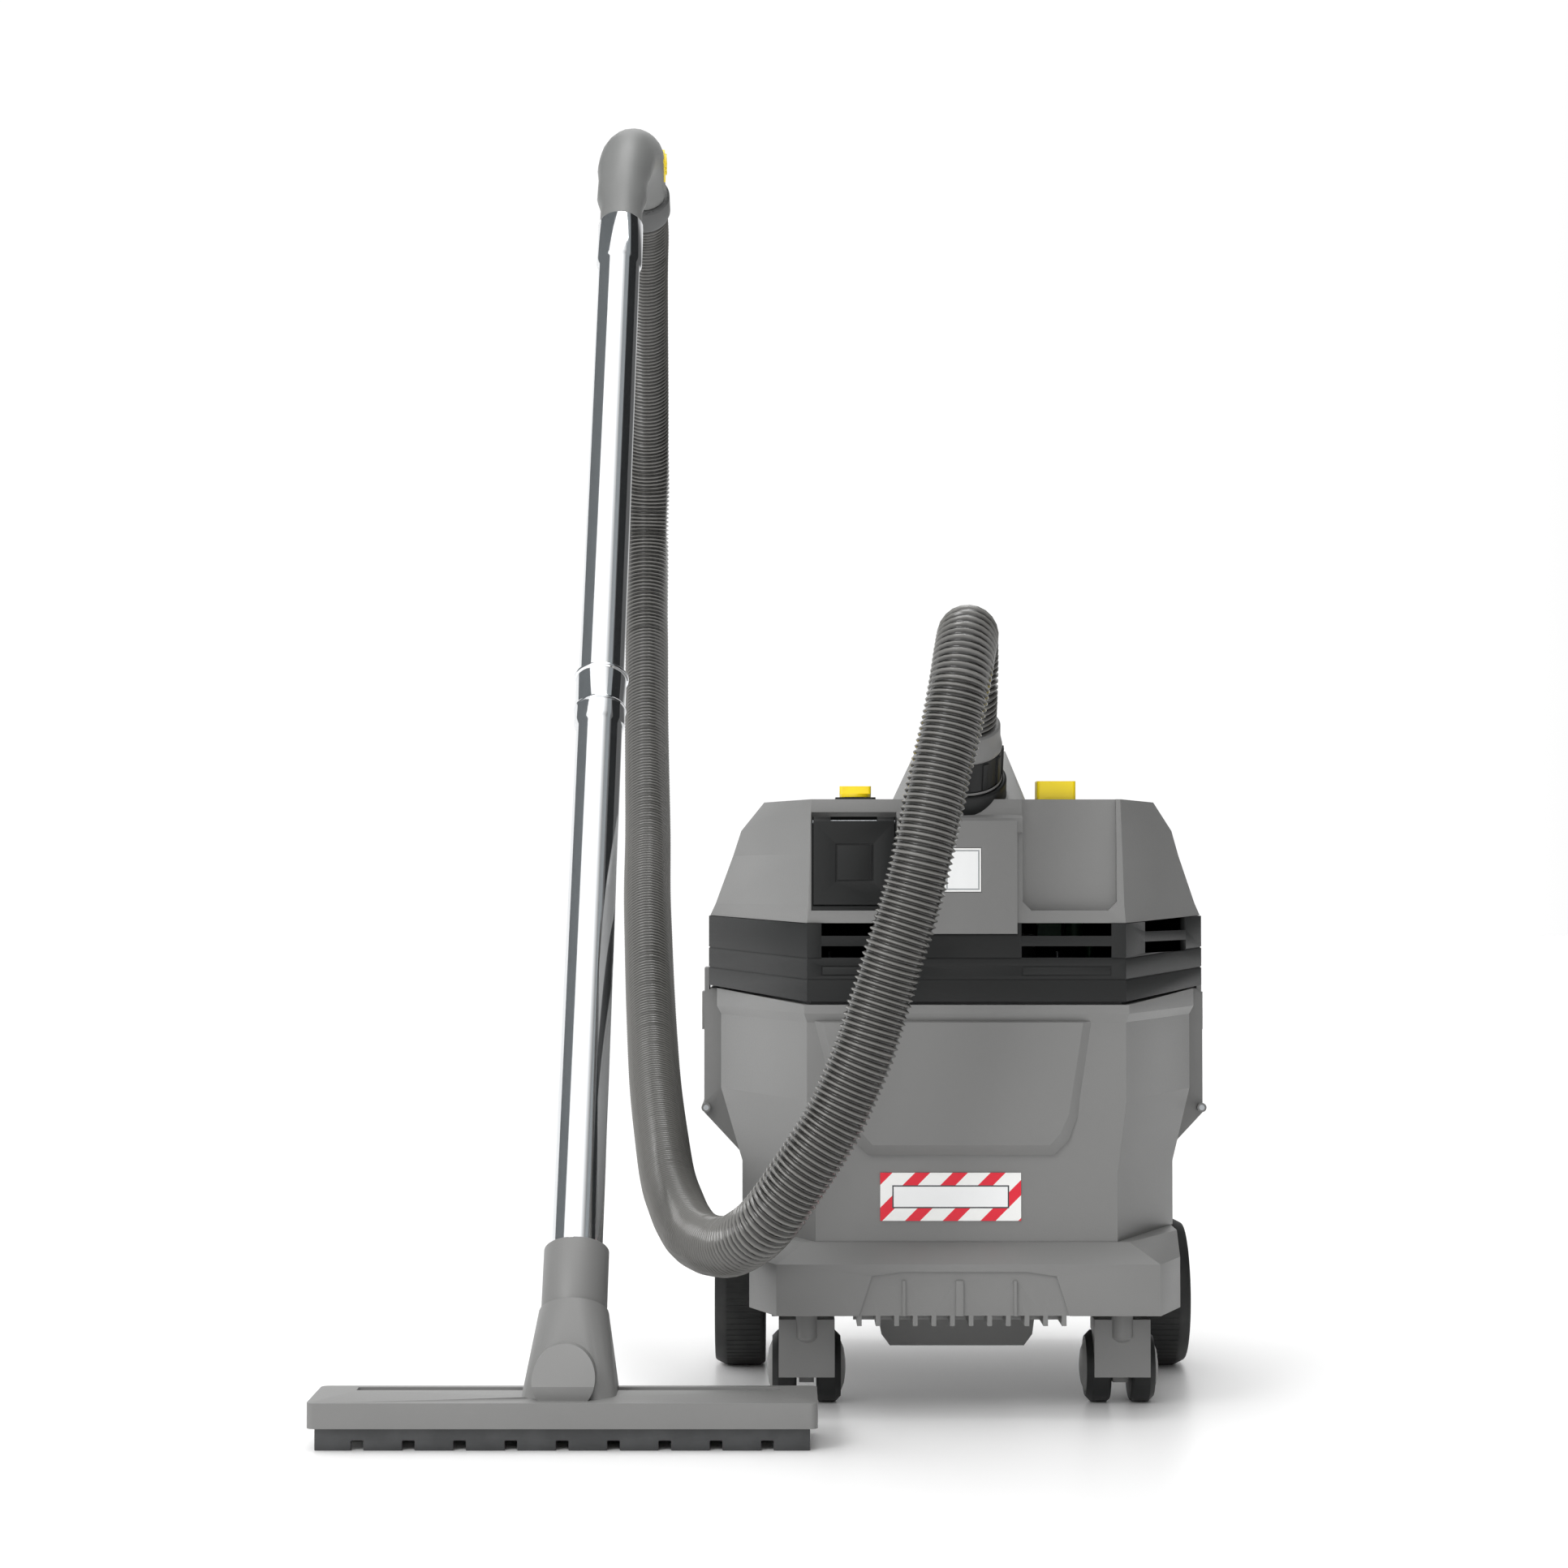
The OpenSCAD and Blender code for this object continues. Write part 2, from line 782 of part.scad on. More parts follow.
module socket_frame() {
    color(black)
        difference() {
            translate([-106.8, -176.5, 346.2])
                cube([58.6, 24, 64.6]);
            translate([-103.5, -180, 350])
                cube([52, 18, 57.5]);
            translate([-77.5, -150, 378])
                rotate([90, 0, 0])
                    cylinder(r = 22, h = 30);
            // Seat of the flap and its pin
            translate([-106, -180, 349])
                cube([57, 7, 65]);
            translate([-105.9, -173, 407.2])
                rotate([0, 90, 0])
                    cylinder(r = 4.9, h = 56.8, $fn = 40);
            translate([-108, -173, 407.2])
                rotate([0, 90, 0])
                    cylinder(r = 1.52, h = 62, $fn = 40);
        }
}

module socket_insert() {
    color(dark_grey)
        translate([-77.5, -152.5, 378])
            rotate([90, 0, 0])
                difference() {
                    cylinder(r = 21.9, h = 10);
                    translate([0, 0, 3])
                        cylinder(r = 19, h = 10);
                    for (s = [-1, 1])
                        translate([s * 9.5, 0, -1])
                            cylinder(r = 2.5, h = 8, $fn = 32);
                }
}

module socket_flap() {
    color(black)
        difference() {
            union() {
                translate([-105.5, -178.2, 350])
                    cube([56, 3, 58]);
                for (x = [-105.5, -105.5 + 44])
                    translate([x, -173, 407.2])
                        rotate([0, 90, 0])
                            cylinder(r = 3.6, h = 12, $fn = 40);
                for (x = [-105.5, -105.5 + 44])
                    translate([x, -176, 403.6])
                        cube([12, 3, 7.2]);
            }
            translate([-110, -173, 407.2])
                rotate([0, 90, 0])
                    cylinder(r = 1.55, h = 70, $fn = 40);
            // Plain raised frame and ring
            translate([-90, -178.4, 366])
                difference() {
                    cube([26, 0.8, 26]);
                    translate([1, -1, 1])
                        cube([24, 3, 24]);
                }
        }
}

module flap_pin() {
    color(steel)
        translate([-106.8, -173, 407.2])
            rotate([0, 90, 0])
                cylinder(r = 1.5, h = 58.6, $fn = 40);
}

module switch_plate() {
    color(black)
        translate([-76, -150, lid_top]) {
            difference() {
                rounded_box([28, 28, 1.6], 3);
                translate([0, 0, -2])
                    cylinder(r = 6.4, h = 8);
            }
            translate([0, 0, -12])
                tube(8.8, 6.4, 12);
        }
}

module switch_knob() {
    color(yellow)
        translate([-76, -150, lid_top]) {
            translate([0, 0, 1.9])
                cylinder(r = 11, h = 2.4);
            translate([0, 0, 4.2])
                rounded_box([22, 8, 5.4], 2);
            translate([0, 0, -11.5])
                cylinder(r = 6.3, h = 14.5);
        }
}

module clean_button() {
    color(yellow) {
        translate([64, -148, lid_top - 4])
            rounded_box([27, 22, 17], 2.4);
        translate([64, -148, lid_top - 17])
            cylinder(r = 5, h = 15);
    }
}

module button_spring() {
    color(steel)
        translate([64, -148, lid_top - 24])
            tube(7.4, 6.2, 19.8);
}

// ---- Motor, filter and electrics ----

module motor_housing() {
    color(dark_grey)
        translate([0, 10, 297])
            difference() {
                union() {
                    cylinder(r = 62, h = 30);
                    cylinder(r = 46, h = 84);
                }
                translate([0, 0, 3])
                    cylinder(r = 58, h = 24);
                translate([0, 0, 3])
                    cylinder(r = 42.2, h = 78);
                translate([0, 0, -1])
                    cylinder(r = 30, h = 6);
                translate([0, 0, 78])
                    cylinder(r = 4.3, h = 8);
                for (a = [0:45:359])
                    rotate([0, 0, a])
                        translate([50, -8, 24])
                            cube([7, 16, 8]);
            }
}

module motor_stator() {
    color(steel)
        translate([0, 10, 332])
            difference() {
                cylinder(r = 42.1, h = 34);
                translate([0, 0, -1])
                    cylinder(r = 24, h = 36);
            }
}

module motor_rotor() {
    color(steel)
        translate([0, 10, 303]) {
            cylinder(r = 4.25, h = 79);
            translate([0, 0, 31])
                cylinder(r = 23, h = 30);
            translate([0, 0, 64])
                cylinder(r = 12, h = 9);
        }
}

module fan_impeller() {
    color("silver")
        translate([0, 10, 304])
            difference() {
                union() {
                    cylinder(r = 54, h = 1.2);
                    cylinder(r = 9, h = 12);
                    for (a = [0:45:359])
                        rotate([0, 0, a])
                            translate([7, -0.6, 0])
                                cube([46, 1.2, 12]);
                }
                translate([0, 0, -1])
                    cylinder(r = 4.25, h = 14);
            }
}

module motor_seal() {
    color(black)
        translate([0, 10, 289])
            tube(44, 36, 4);
}

module circuit_board() {
    color("#2f5a3a") {
        translate([60, 70, 320])
            cube([60, 60, 1.6]);
        translate([70, 80, 321.6])
            cube([18, 14, 12]);
        translate([98, 84, 321.6])
            cylinder(r = 7, h = 16);
        for (p = [[64, 74], [114, 124]])
            translate([p[0], p[1], 297])
                cylinder(r = 3, h = 23);
    }
}

module cable_gland() {
    color(black)
        translate([0, 210, 362])
            rotate([90, 0, 0]) {
                tube(13, 4, 14);
                tube(8.9, 4, 24);
            }
}

module filter_cage() {
    color(dark_grey)
        translate([0, 10, 0]) {
            translate([0, 0, 285])
                tube(60, 32, 4);
            translate([0, 0, 195])
                difference() {
                    cylinder(r = 36, h = 90);
                    translate([0, 0, 4])
                        cylinder(r = 33, h = 100);
                    for (z = [14, 52])
                        for (a = [0:45:359])
                            rotate([0, 0, a])
                                translate([28, -7, z])
                                    cube([12, 14, 28]);
                }
        }
}

module filter_cartridge() {
    // Pleated sleeve over the cage
    pleats = 36;
    color("white")
        translate([0, 10, 198])
            difference() {
                linear_extrude(87)
                    polygon([for (i = [0:2 * pleats - 1])
                        (i % 2 == 0 ? 56 : 50) * [cos(180 * i / pleats), sin(180 * i / pleats)]]);
                translate([0, 0, -1])
                    cylinder(r = 36.1, h = 90);
            }
}

module float_ball() {
    color("#d9dde0")
        translate([0, 10, 222])
            sphere(r = 21);
}

// ---- Hose, wand and handle ----

module suction_hose() {
    color("#6f6f6c")
        hollow_sweep(hose_route, [for (p = hose_route) hose_d / 2], hose_d / 2 - 2.5, 12);
}

module steel_tube(bell) {
    // Tube with a belled and rolled upper end when bell is set
    r = tube_d / 2;
    low = -insert_len;
    top = tube_len;
    color(chrome)
        if (bell)
            rotate_extrude()
                polygon([
                    [r - tube_wall, low], [r, low], [r, top - bell_len - 5], [19.3, top - bell_len],
                    [19.3, top - 33], [20.2, top - 31.5], [19.3, top - 30], [19.3, top - 3],
                    [21, top - 2], [21, top], [17.6, top], [17.6, top - bell_len + 1], [r - tube_wall, top - bell_len - 4]
                ]);
        else
            tube_plain(r, low, top);
}

module tube_plain(r, low, top) {
    rotate_extrude()
        polygon([
            [r - tube_wall, low], [r, low], [r, top - bell_len - 5], [19.3, top - bell_len],
            [19.3, top], [17.6, top], [17.6, top - bell_len + 1], [r - tube_wall, top - bell_len - 4]
        ]);
}

module tube_lower() {
    on_wand(0)
        steel_tube(true);
}

module tube_upper() {
    on_wand(tube_len)
        steel_tube(false);
}

// The handle's own curve, from the top of the wand to where the hose leaves
handle_route = [
    [-266, 335.7, 929.5], [-266, 353.5, 955.8], [-265, 373, 984], [-261, 394, 1003], [-256, 416, 1010],
    [-253, 438, 1008], [-253, 460, 999.2], [-253, 478, 990]
];
handle_steps = 3;
// Outer radius of the handle by the point of its route
handle_sizes = [
    [0, 18], [0.67, 18], [1, 21.5], [1.67, 21.5], [2, 23.4], [2.67, 24], [4, 22], [6, 20.5], [7, 20.5]
];

module handle_bend() {
    path = smooth(handle_route, handle_steps);
    n = len(path) - 1;
    color(dark_grey)
        difference() {
            hollow_sweep(path, [for (i = [0:n]) lookup(i / handle_steps, handle_sizes)], 15.6, 24);
            // Channel of the air slider
            slider_place()
                translate([-7, -24, 0.2])
                    cube([14, 46, 14]);
        }
}

module handle_sleeve() {
    // Sleeve that fits in the upper tube's bell
    color(dark_grey)
        on_wand(wand_len - 30)
            tube(17.4, 15.5, 29.2);
}

module slider_place() {
    translate([-236, 450, 1003.6])
        rotate([-22, 0, 0])
            rotate([0, 90, 0])
                children();
}

module air_slider() {
    color(yellow)
        slider_place()
            translate([-6.5, -23.5, 0.6])
                rounded_slider();
}

module rounded_slider() {
    cube([13, 32, 3.4]);
    for (y = [6, 12, 18])
        translate([0, y, 3.3])
            cube([13, 3, 1.6]);
}

module hose_swivel() {
    // Cuff that turns with the hose on the handle's end
    color(dark_grey)
        translate([-253, 478, 990])
            rotate([-117, 0, 0])
                translate([0, 0, 0.7])
                    rotate_extrude()
                        polygon([[16, 0], [21.5, 0], [23.5, 3], [23.5, 24], [21.5, 30], [16, 30]]);
}

// ---- Floor nozzle ----

module nozzle_body() {
    color(mid_grey) {
        difference() {
            union() {
                translate([nozzle_x, (nozzle_front + nozzle_back) / 2, nozzle_bottom])
                    rounded_box([nozzle_w, nozzle_back - nozzle_front, nozzle_top - nozzle_bottom], 5);
                neck_arch();
                neck_front();
            }
            // Hollow underside
            translate([nozzle_x - nozzle_w / 2 + 4, nozzle_front + 4, nozzle_bottom - 1])
                cube([nozzle_w - 8, nozzle_back - nozzle_front - 8, nozzle_top - nozzle_bottom - 3]);
            // Channel along the rear of the top
            translate([nozzle_x - 139, nozzle_back - 19, nozzle_top - 2.5])
                cube([279, 12, 4]);
            on_wand(-insert_len - 40)
                cylinder(r = 17, h = 60);
            on_wand(-insert_len - 4)
                cylinder(r = 22.1, h = 60);
        }
        // Rails that hold the lips
        for (y = [nozzle_front + 9, -283])
            translate([nozzle_x - nozzle_w / 2 + 4, y, nozzle_bottom])
                cube([nozzle_w - 8, 3, 10]);
        roller_bearers();
    }
}

module neck_arch() {
    intersection() {
        hull() {
            translate([socket_at[0], -270, nozzle_top - 2])
                rounded_box([62, 62, 1], 14);
            on_wand(-insert_len - 14)
                cylinder(r = 23.4, h = 10, $fn = 32);
        }
        translate([socket_at[0] - 60, nozzle_front + 1, nozzle_bottom])
            cube([120, 140, 90]);
    }
}

module neck_front() {
    // Sloped arch in front of the neck
    intersection() {
        translate([socket_at[0] - 2.5, -262, 44])
            rotate([90, 0, 0])
                cylinder(r = 20.6, h = 47);
        translate([socket_at[0] - 40, -309, 40])
            rotate([-42, 0, 0])
                translate([0, 0, -30])
                    cube([80, 70, 90]);
    }
}

module nozzle_neck() {
    // Socket that takes the wand
    color(mid_grey)
        on_wand(-insert_len - 4)
            rotate_extrude()
                polygon([
                    [17, 0], [22, 0], [22, insert_len + 4], [17.6, insert_len + 4], [17.6, 4], [17, 4]
                ]);
}

module lip(y, notches) {
    color(dark_grey)
        translate([nozzle_x - 159.5, y, 0])
            difference() {
                cube([319, 4, nozzle_bottom + 8]);
                for (i = [0:1:notches - 1])
                    translate([27.5 + i * 33 - 4, -1, -1])
                        cube([8, 6, 7.4]);
            }
}

module front_lip() {
    lip(nozzle_front + 4.5, 9);
}

module rear_lip() {
    lip(-279.7, 0);
}

module roller_bearers() {
    for (s = [-1, 1])
        for (side = [-1, 1])
            translate([nozzle_x + s * 130 + side * 9 - 1.5, nozzle_back - 20, roller_r - 4])
                difference() {
                    cube([3, 12, nozzle_top - roller_r + 2]);
                    translate([-1, 6, 4])
                        rotate([0, 90, 0])
                            cylinder(r = 2, h = 5, $fn = 32);
                }
}

module roller(s) {
    color(black)
        translate([nozzle_x + s * 130 - 6.5, nozzle_back - 14, roller_r])
            rotate([0, 90, 0])
                tube(roller_r, 2.05, 13);
}

module roller_axle() {
    color(steel)
        for (s = [-1, 1])
            translate([nozzle_x + s * 130 - 11, nozzle_back - 14, roller_r])
                rotate([0, 90, 0])
                    cylinder(r = 2, h = 22, $fn = 32);
}

module nozzle_screws() {
    color(steel)
        for (x = [-120, 120])
            translate([nozzle_x + x, -272, 18])
                cylinder(r = 3, h = 8);
}

in_frame() container();
in_frame() label_plate();
in_frame() chassis();
in_frame() rear_axle();
in_frame() latch_pins();
in_frame() latch(-1);  // latch_left
in_frame() latch(1);  // latch_right
in_frame() rear_wheel(-1);  // rear_wheel_left
in_frame() rear_wheel(1);  // rear_wheel_right
in_frame() wheel_cap(-1);  // wheel_cap_left
in_frame() wheel_cap(1);  // wheel_cap_right
in_frame() castor_fork(-1);  // castor_fork_left
in_frame() castor_fork(1);  // castor_fork_right
in_frame() castor_wheels(-1);  // castor_wheels_left
in_frame() castor_wheels(1);  // castor_wheels_right
in_frame() castor_caps(-1);  // castor_caps_left
in_frame() castor_caps(1);  // castor_caps_right
in_frame() head_cover();
in_frame() vent_band();
in_frame() head_base();
in_frame() rim_gasket();
in_frame() head_screws();
in_frame() badge_plate();
in_frame() inlet_duct();
in_frame() inlet_collar();
in_frame() hose_coupling();
in_frame() coupling_ring();
in_frame() socket_frame();
in_frame() socket_insert();
in_frame() socket_flap();
in_frame() flap_pin();
in_frame() switch_plate();
in_frame() switch_knob();
in_frame() clean_button();
in_frame() button_spring();
in_frame() motor_housing();
in_frame() motor_stator();
in_frame() motor_rotor();
in_frame() fan_impeller();
in_frame() motor_seal();
in_frame() circuit_board();
in_frame() cable_gland();
in_frame() filter_cage();
in_frame() filter_cartridge();
in_frame() float_ball();
in_frame() suction_hose();
in_frame() tube_lower();
in_frame() tube_upper();
in_frame() handle_bend();
in_frame() handle_sleeve();
in_frame() air_slider();
in_frame() hose_swivel();
in_frame() nozzle_body();
in_frame() nozzle_neck();
in_frame() front_lip();
in_frame() rear_lip();
in_frame() roller(-1);  // roller_left
in_frame() roller(1);  // roller_right
in_frame() roller_axle();
in_frame() nozzle_screws();
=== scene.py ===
"""Wet and dry canister vacuum cleaner, dressed for the studio over its fixed CAD frame."""

import logging
import math
from dataclasses import dataclass, field
from enum import Enum
from typing import Any, Optional, Sequence

import bmesh
import bpy
from mathutils import Matrix, Vector


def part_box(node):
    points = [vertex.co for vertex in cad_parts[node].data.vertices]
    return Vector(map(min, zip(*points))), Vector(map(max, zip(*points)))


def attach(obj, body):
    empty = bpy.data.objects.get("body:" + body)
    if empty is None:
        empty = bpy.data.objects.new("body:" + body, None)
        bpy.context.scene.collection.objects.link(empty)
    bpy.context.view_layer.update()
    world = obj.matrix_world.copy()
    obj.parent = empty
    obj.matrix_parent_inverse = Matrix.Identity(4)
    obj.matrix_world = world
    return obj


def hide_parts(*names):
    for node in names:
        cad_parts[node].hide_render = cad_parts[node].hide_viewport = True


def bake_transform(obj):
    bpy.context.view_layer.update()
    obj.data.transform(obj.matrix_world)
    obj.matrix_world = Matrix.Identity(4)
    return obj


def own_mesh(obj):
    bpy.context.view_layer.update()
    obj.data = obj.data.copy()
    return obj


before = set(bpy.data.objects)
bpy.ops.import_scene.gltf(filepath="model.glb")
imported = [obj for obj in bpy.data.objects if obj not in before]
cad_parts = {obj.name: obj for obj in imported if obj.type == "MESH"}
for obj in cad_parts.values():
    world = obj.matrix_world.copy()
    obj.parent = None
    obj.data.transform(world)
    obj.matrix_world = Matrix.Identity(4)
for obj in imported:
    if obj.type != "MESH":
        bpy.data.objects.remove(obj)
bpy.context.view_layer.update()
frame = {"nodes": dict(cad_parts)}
LOG = logging.getLogger("vacuum")

MM = 0.001
# Corners of the CAD's triangles nearer than this are one corner (m).
WELD = 2e-6
# How far the wand leans back from upright.
WAND_LEAN_DEG = 34.0
# Faces that turn less than this (degrees) are one flat face.
FLAT_DEG = 0.4
# Edges sharper than this (degrees) are rounded.
ROUND_DEG = 24.0
# Rings along the hose for each of its ribs.
RINGS_PER_RIB = 8.0
# Power of the rib's wave: 1 makes crests and valleys equally wide, more narrows the crests.
CREST_SHARPNESS = 1.4
# Middle of the object's box without the hose, in the machine's own axes (mm).
FRAME_X = -123.05
FRAME_Y = 98.55

Point = tuple[float, float, float]


def place(x: float, y: float, z: float) -> Vector:
    """Turn a point of the machine's own axes into the row frame.

    Args:
        x: Millimetres to the right of the machine's middle plane.
        y: Millimetres back from its widest plane.
        z: Millimetres above the floor.

    Returns:
        The point in metres.
    """
    return Vector(((x - FRAME_X) * MM, (y - FRAME_Y) * MM, z * MM))


class Body(Enum):
    """Moving bodies of the machine, as the joints name them."""

    BASE = "base"
    HEAD = "head"
    COUPLING = "coupling"
    FLAP = "flap"
    KNOB = "knob"
    BUTTON = "button"
    ROTOR = "rotor"
    FLOAT = "float"
    SLIDER = "slider"
    SWIVEL = "swivel"
    LATCH_LEFT = "latch_l"
    LATCH_RIGHT = "latch_r"
    WHEEL_LEFT = "wheel_l"
    WHEEL_RIGHT = "wheel_r"
    FORK_LEFT = "fork_l"
    FORK_RIGHT = "fork_r"
    CASTOR_LEFT = "castor_l"
    CASTOR_RIGHT = "castor_r"
    ROLLER_LEFT = "roll_l"
    ROLLER_RIGHT = "roll_r"


# ---------------------------------------------------------------- node tools


def linear_colour(code: str) -> tuple[float, float, float, float]:
    """Turn an sRGB hex value into a linear colour.

    Args:
        code: Six hex digits, with or without a leading hash.

    Returns:
        Red, green, blue and alpha, linear.
    """
    code = code.lstrip("#")
    parts = [int(code[i : i + 2], 16) / 255 for i in (0, 2, 4)]
    line = [c / 12.92 if c <= 0.04045 else ((c + 0.055) / 1.055) ** 2.4 for c in parts]
    return (line[0], line[1], line[2], 1.0)


def add_node(
    tree: bpy.types.NodeTree,
    kind: str,
    settings: Optional[dict[str, Any]] = None,
    links: Optional[dict[Any, Any]] = None,
) -> bpy.types.Node:
    """Add a node with its settings and what feeds it.

    Args:
        tree: The node tree.
        kind: The node's type name.
        settings: Attribute names, or input names for sockets, with their values.
        links: Input names or numbers with the output sockets that feed them.

    Returns:
        The new node.
    """
    node = tree.nodes.new(kind)
    for key, value in (settings or {}).items():
        if isinstance(key, int) or (key in node.inputs and not hasattr(node, str(key))):
            node.inputs[key].default_value = value
        else:
            setattr(node, key, value)
    for key, output in (links or {}).items():
        tree.links.new(output, node.inputs[key])
    return node


def new_material(name: str) -> tuple[bpy.types.Material, bpy.types.Node, bpy.types.NodeTree]:
    """Make an empty node material.

    Args:
        name: The material's name.

    Returns:
        The material, its Principled shader and its tree.
    """
    material = bpy.data.materials.new(name)
    material.use_nodes = True
    tree = material.node_tree
    return material, tree.nodes["Principled BSDF"], tree


def ramp(node: bpy.types.Node, stops: Sequence[tuple[float, str]]) -> None:
    """Set the colours of a colour ramp.

    Args:
        node: The ramp node.
        stops: Places from 0 to 1 with their sRGB hex values.
    """
    bar = node.color_ramp
    while len(bar.elements) < len(stops):
        bar.elements.new(1.0)
    for element, (spot, code) in zip(bar.elements, stops):
        element.position = spot
        element.color = linear_colour(code)


# ---------------------------------------------------------------- finishes


@dataclass(frozen=True)
class MouldedPlastic:
    """Injection-moulded plastic with a spark-eroded skin: a fine even grain that breaks up reflections."""

    name: str
    colour: str
    shade: str
    roughness: float = 0.5
    grain_mm: float = 0.9
    grain_depth: float = 0.12
    coat: float = 0.0
    gloss: float = 0.5

    def make(self) -> bpy.types.Material:
        """Build the material.

        Returns:
            The finished material.
        """
        material, shader, tree = new_material(self.name)
        spot = add_node(tree, "ShaderNodeTexCoord")
        # The real grain is about 0.1 mm; it is drawn coarser so that it shows.
        grain = add_node(
            tree,
            "ShaderNodeTexNoise",
            {"Scale": 1000 / self.grain_mm, "Detail": 2.0, "Roughness": 0.6},
            {"Vector": spot.outputs["Object"]},
        )
        cloud = add_node(
            tree,
            "ShaderNodeTexNoise",
            {"Scale": 6.0, "Detail": 2.0},
            {"Vector": spot.outputs["Object"]},
        )
        tone = add_node(tree, "ShaderNodeValToRGB", links={"Fac": cloud.outputs["Fac"]})
        ramp(tone, [(0.35, self.shade), (0.65, self.colour)])
        tree.links.new(tone.outputs["Color"], shader.inputs["Base Color"])
        scuff = add_node(
            tree,
            "ShaderNodeMapRange",
            {"To Min": self.roughness - 0.05, "To Max": self.roughness + 0.07},
            {"Value": grain.outputs["Fac"]},
        )
        tree.links.new(scuff.outputs["Result"], shader.inputs["Roughness"])
        bump = add_node(
            tree,
            "ShaderNodeBump",
            {"Strength": self.grain_depth, "Distance": 0.0004},
            {"Height": grain.outputs["Fac"]},
        )
        tree.links.new(bump.outputs["Normal"], shader.inputs["Normal"])
        shader.inputs["IOR"].default_value = 1.5
        shader.inputs["Specular IOR Level"].default_value = self.gloss
        shader.inputs["Coat Weight"].default_value = self.coat
        shader.inputs["Coat Roughness"].default_value = 0.25
        return material


@dataclass(frozen=True)
class PlatedTube:
    """Chrome plate on drawn steel tube: a mirror with faint lengthwise draw lines."""

    name: str = "chrome_plate"
    colour: str = "#e9ebed"
    roughness: float = 0.07

    def make(self) -> bpy.types.Material:
        """Build the material.

        Returns:
            The finished material.
        """
        material, shader, tree = new_material(self.name)
        spot = add_node(tree, "ShaderNodeTexCoord")
        turned = add_node(
            tree,
            "ShaderNodeMapping",
            {"Rotation": (math.radians(WAND_LEAN_DEG), 0, 0), "Scale": (900.0, 900.0, 9.0)},
            {"Vector": spot.outputs["Object"]},
        )
        lines = add_node(
            tree,
            "ShaderNodeTexNoise",
            {"Scale": 1.0, "Detail": 2.0},
            {"Vector": turned.outputs["Vector"]},
        )
        rough = add_node(
            tree,
            "ShaderNodeMapRange",
            {"To Min": self.roughness - 0.02, "To Max": self.roughness + 0.07},
            {"Value": lines.outputs["Fac"]},
        )
        tree.links.new(rough.outputs["Result"], shader.inputs["Roughness"])
        shader.inputs["Base Color"].default_value = linear_colour(self.colour)
        shader.inputs["Metallic"].default_value = 1.0
        return material


@dataclass(frozen=True)
class MachinedSteel:
    """Turned or rolled steel: a satin metal with fine turning marks."""

    name: str = "machined_steel"
    colour: str = "#b4b7ba"
    roughness: float = 0.32
    mark_mm: float = 0.6

    def make(self) -> bpy.types.Material:
        """Build the material.

        Returns:
            The finished material.
        """
        material, shader, tree = new_material(self.name)
        spot = add_node(tree, "ShaderNodeTexCoord")
        marks = add_node(
            tree,
            "ShaderNodeTexNoise",
            {"Scale": 1000 / self.mark_mm, "Detail": 3.0},
            {"Vector": spot.outputs["Object"]},
        )
        tone = add_node(tree, "ShaderNodeValToRGB", links={"Fac": marks.outputs["Fac"]})
        ramp(tone, [(0.3, "#9a9da0"), (0.7, self.colour)])
        tree.links.new(tone.outputs["Color"], shader.inputs["Base Color"])
        bump = add_node(
            tree,
            "ShaderNodeBump",
            {"Strength": 0.08, "Distance": 0.0002},
            {"Height": marks.outputs["Fac"]},
        )
        tree.links.new(bump.outputs["Normal"], shader.inputs["Normal"])
        shader.inputs["Metallic"].default_value = 1.0
        shader.inputs["Roughness"].default_value = self.roughness
        return material


@dataclass(frozen=True)
class HoseVinyl:
    """Smoke-grey EVA hose: glossy over its ribs, with painted shade that darkens the valleys between them.
    """

    name: str = "hose_vinyl"
    crest: str = "#6f6e6b"
    # Painted shade for the valleys between the ribs; the hose's own grey is the crest colour.
    painted_valley_shade: str = "#232220"

    def make(self) -> bpy.types.Material:
        """Build the material.

        Returns:
            The finished material.
        """
        material, shader, tree = new_material(self.name)
        height = add_node(tree, "ShaderNodeAttribute", {"attribute_name": "rib_height"})
        tone = add_node(tree, "ShaderNodeValToRGB", links={"Fac": height.outputs["Fac"]})
        # The colour runs from painted valley shade at a rib's foot to the hose's own grey on its crest.
        ramp(tone, [(0.1, self.painted_valley_shade), (0.85, self.crest)])
        tree.links.new(tone.outputs["Color"], shader.inputs["Base Color"])
        spot = add_node(tree, "ShaderNodeTexCoord")
        skin = add_node(
            tree,
            "ShaderNodeTexNoise",
            {"Scale": 400.0, "Detail": 2.0},
            {"Vector": spot.outputs["Object"]},
        )
        rough = add_node(
            tree,
            "ShaderNodeMapRange",
            {"To Min": 0.16, "To Max": 0.28},
            {"Value": skin.outputs["Fac"]},
        )
        tree.links.new(rough.outputs["Result"], shader.inputs["Roughness"])
        shader.inputs["IOR"].default_value = 1.48
        shader.inputs["Coat Weight"].default_value = 0.35
        shader.inputs["Coat Roughness"].default_value = 0.12
        return material


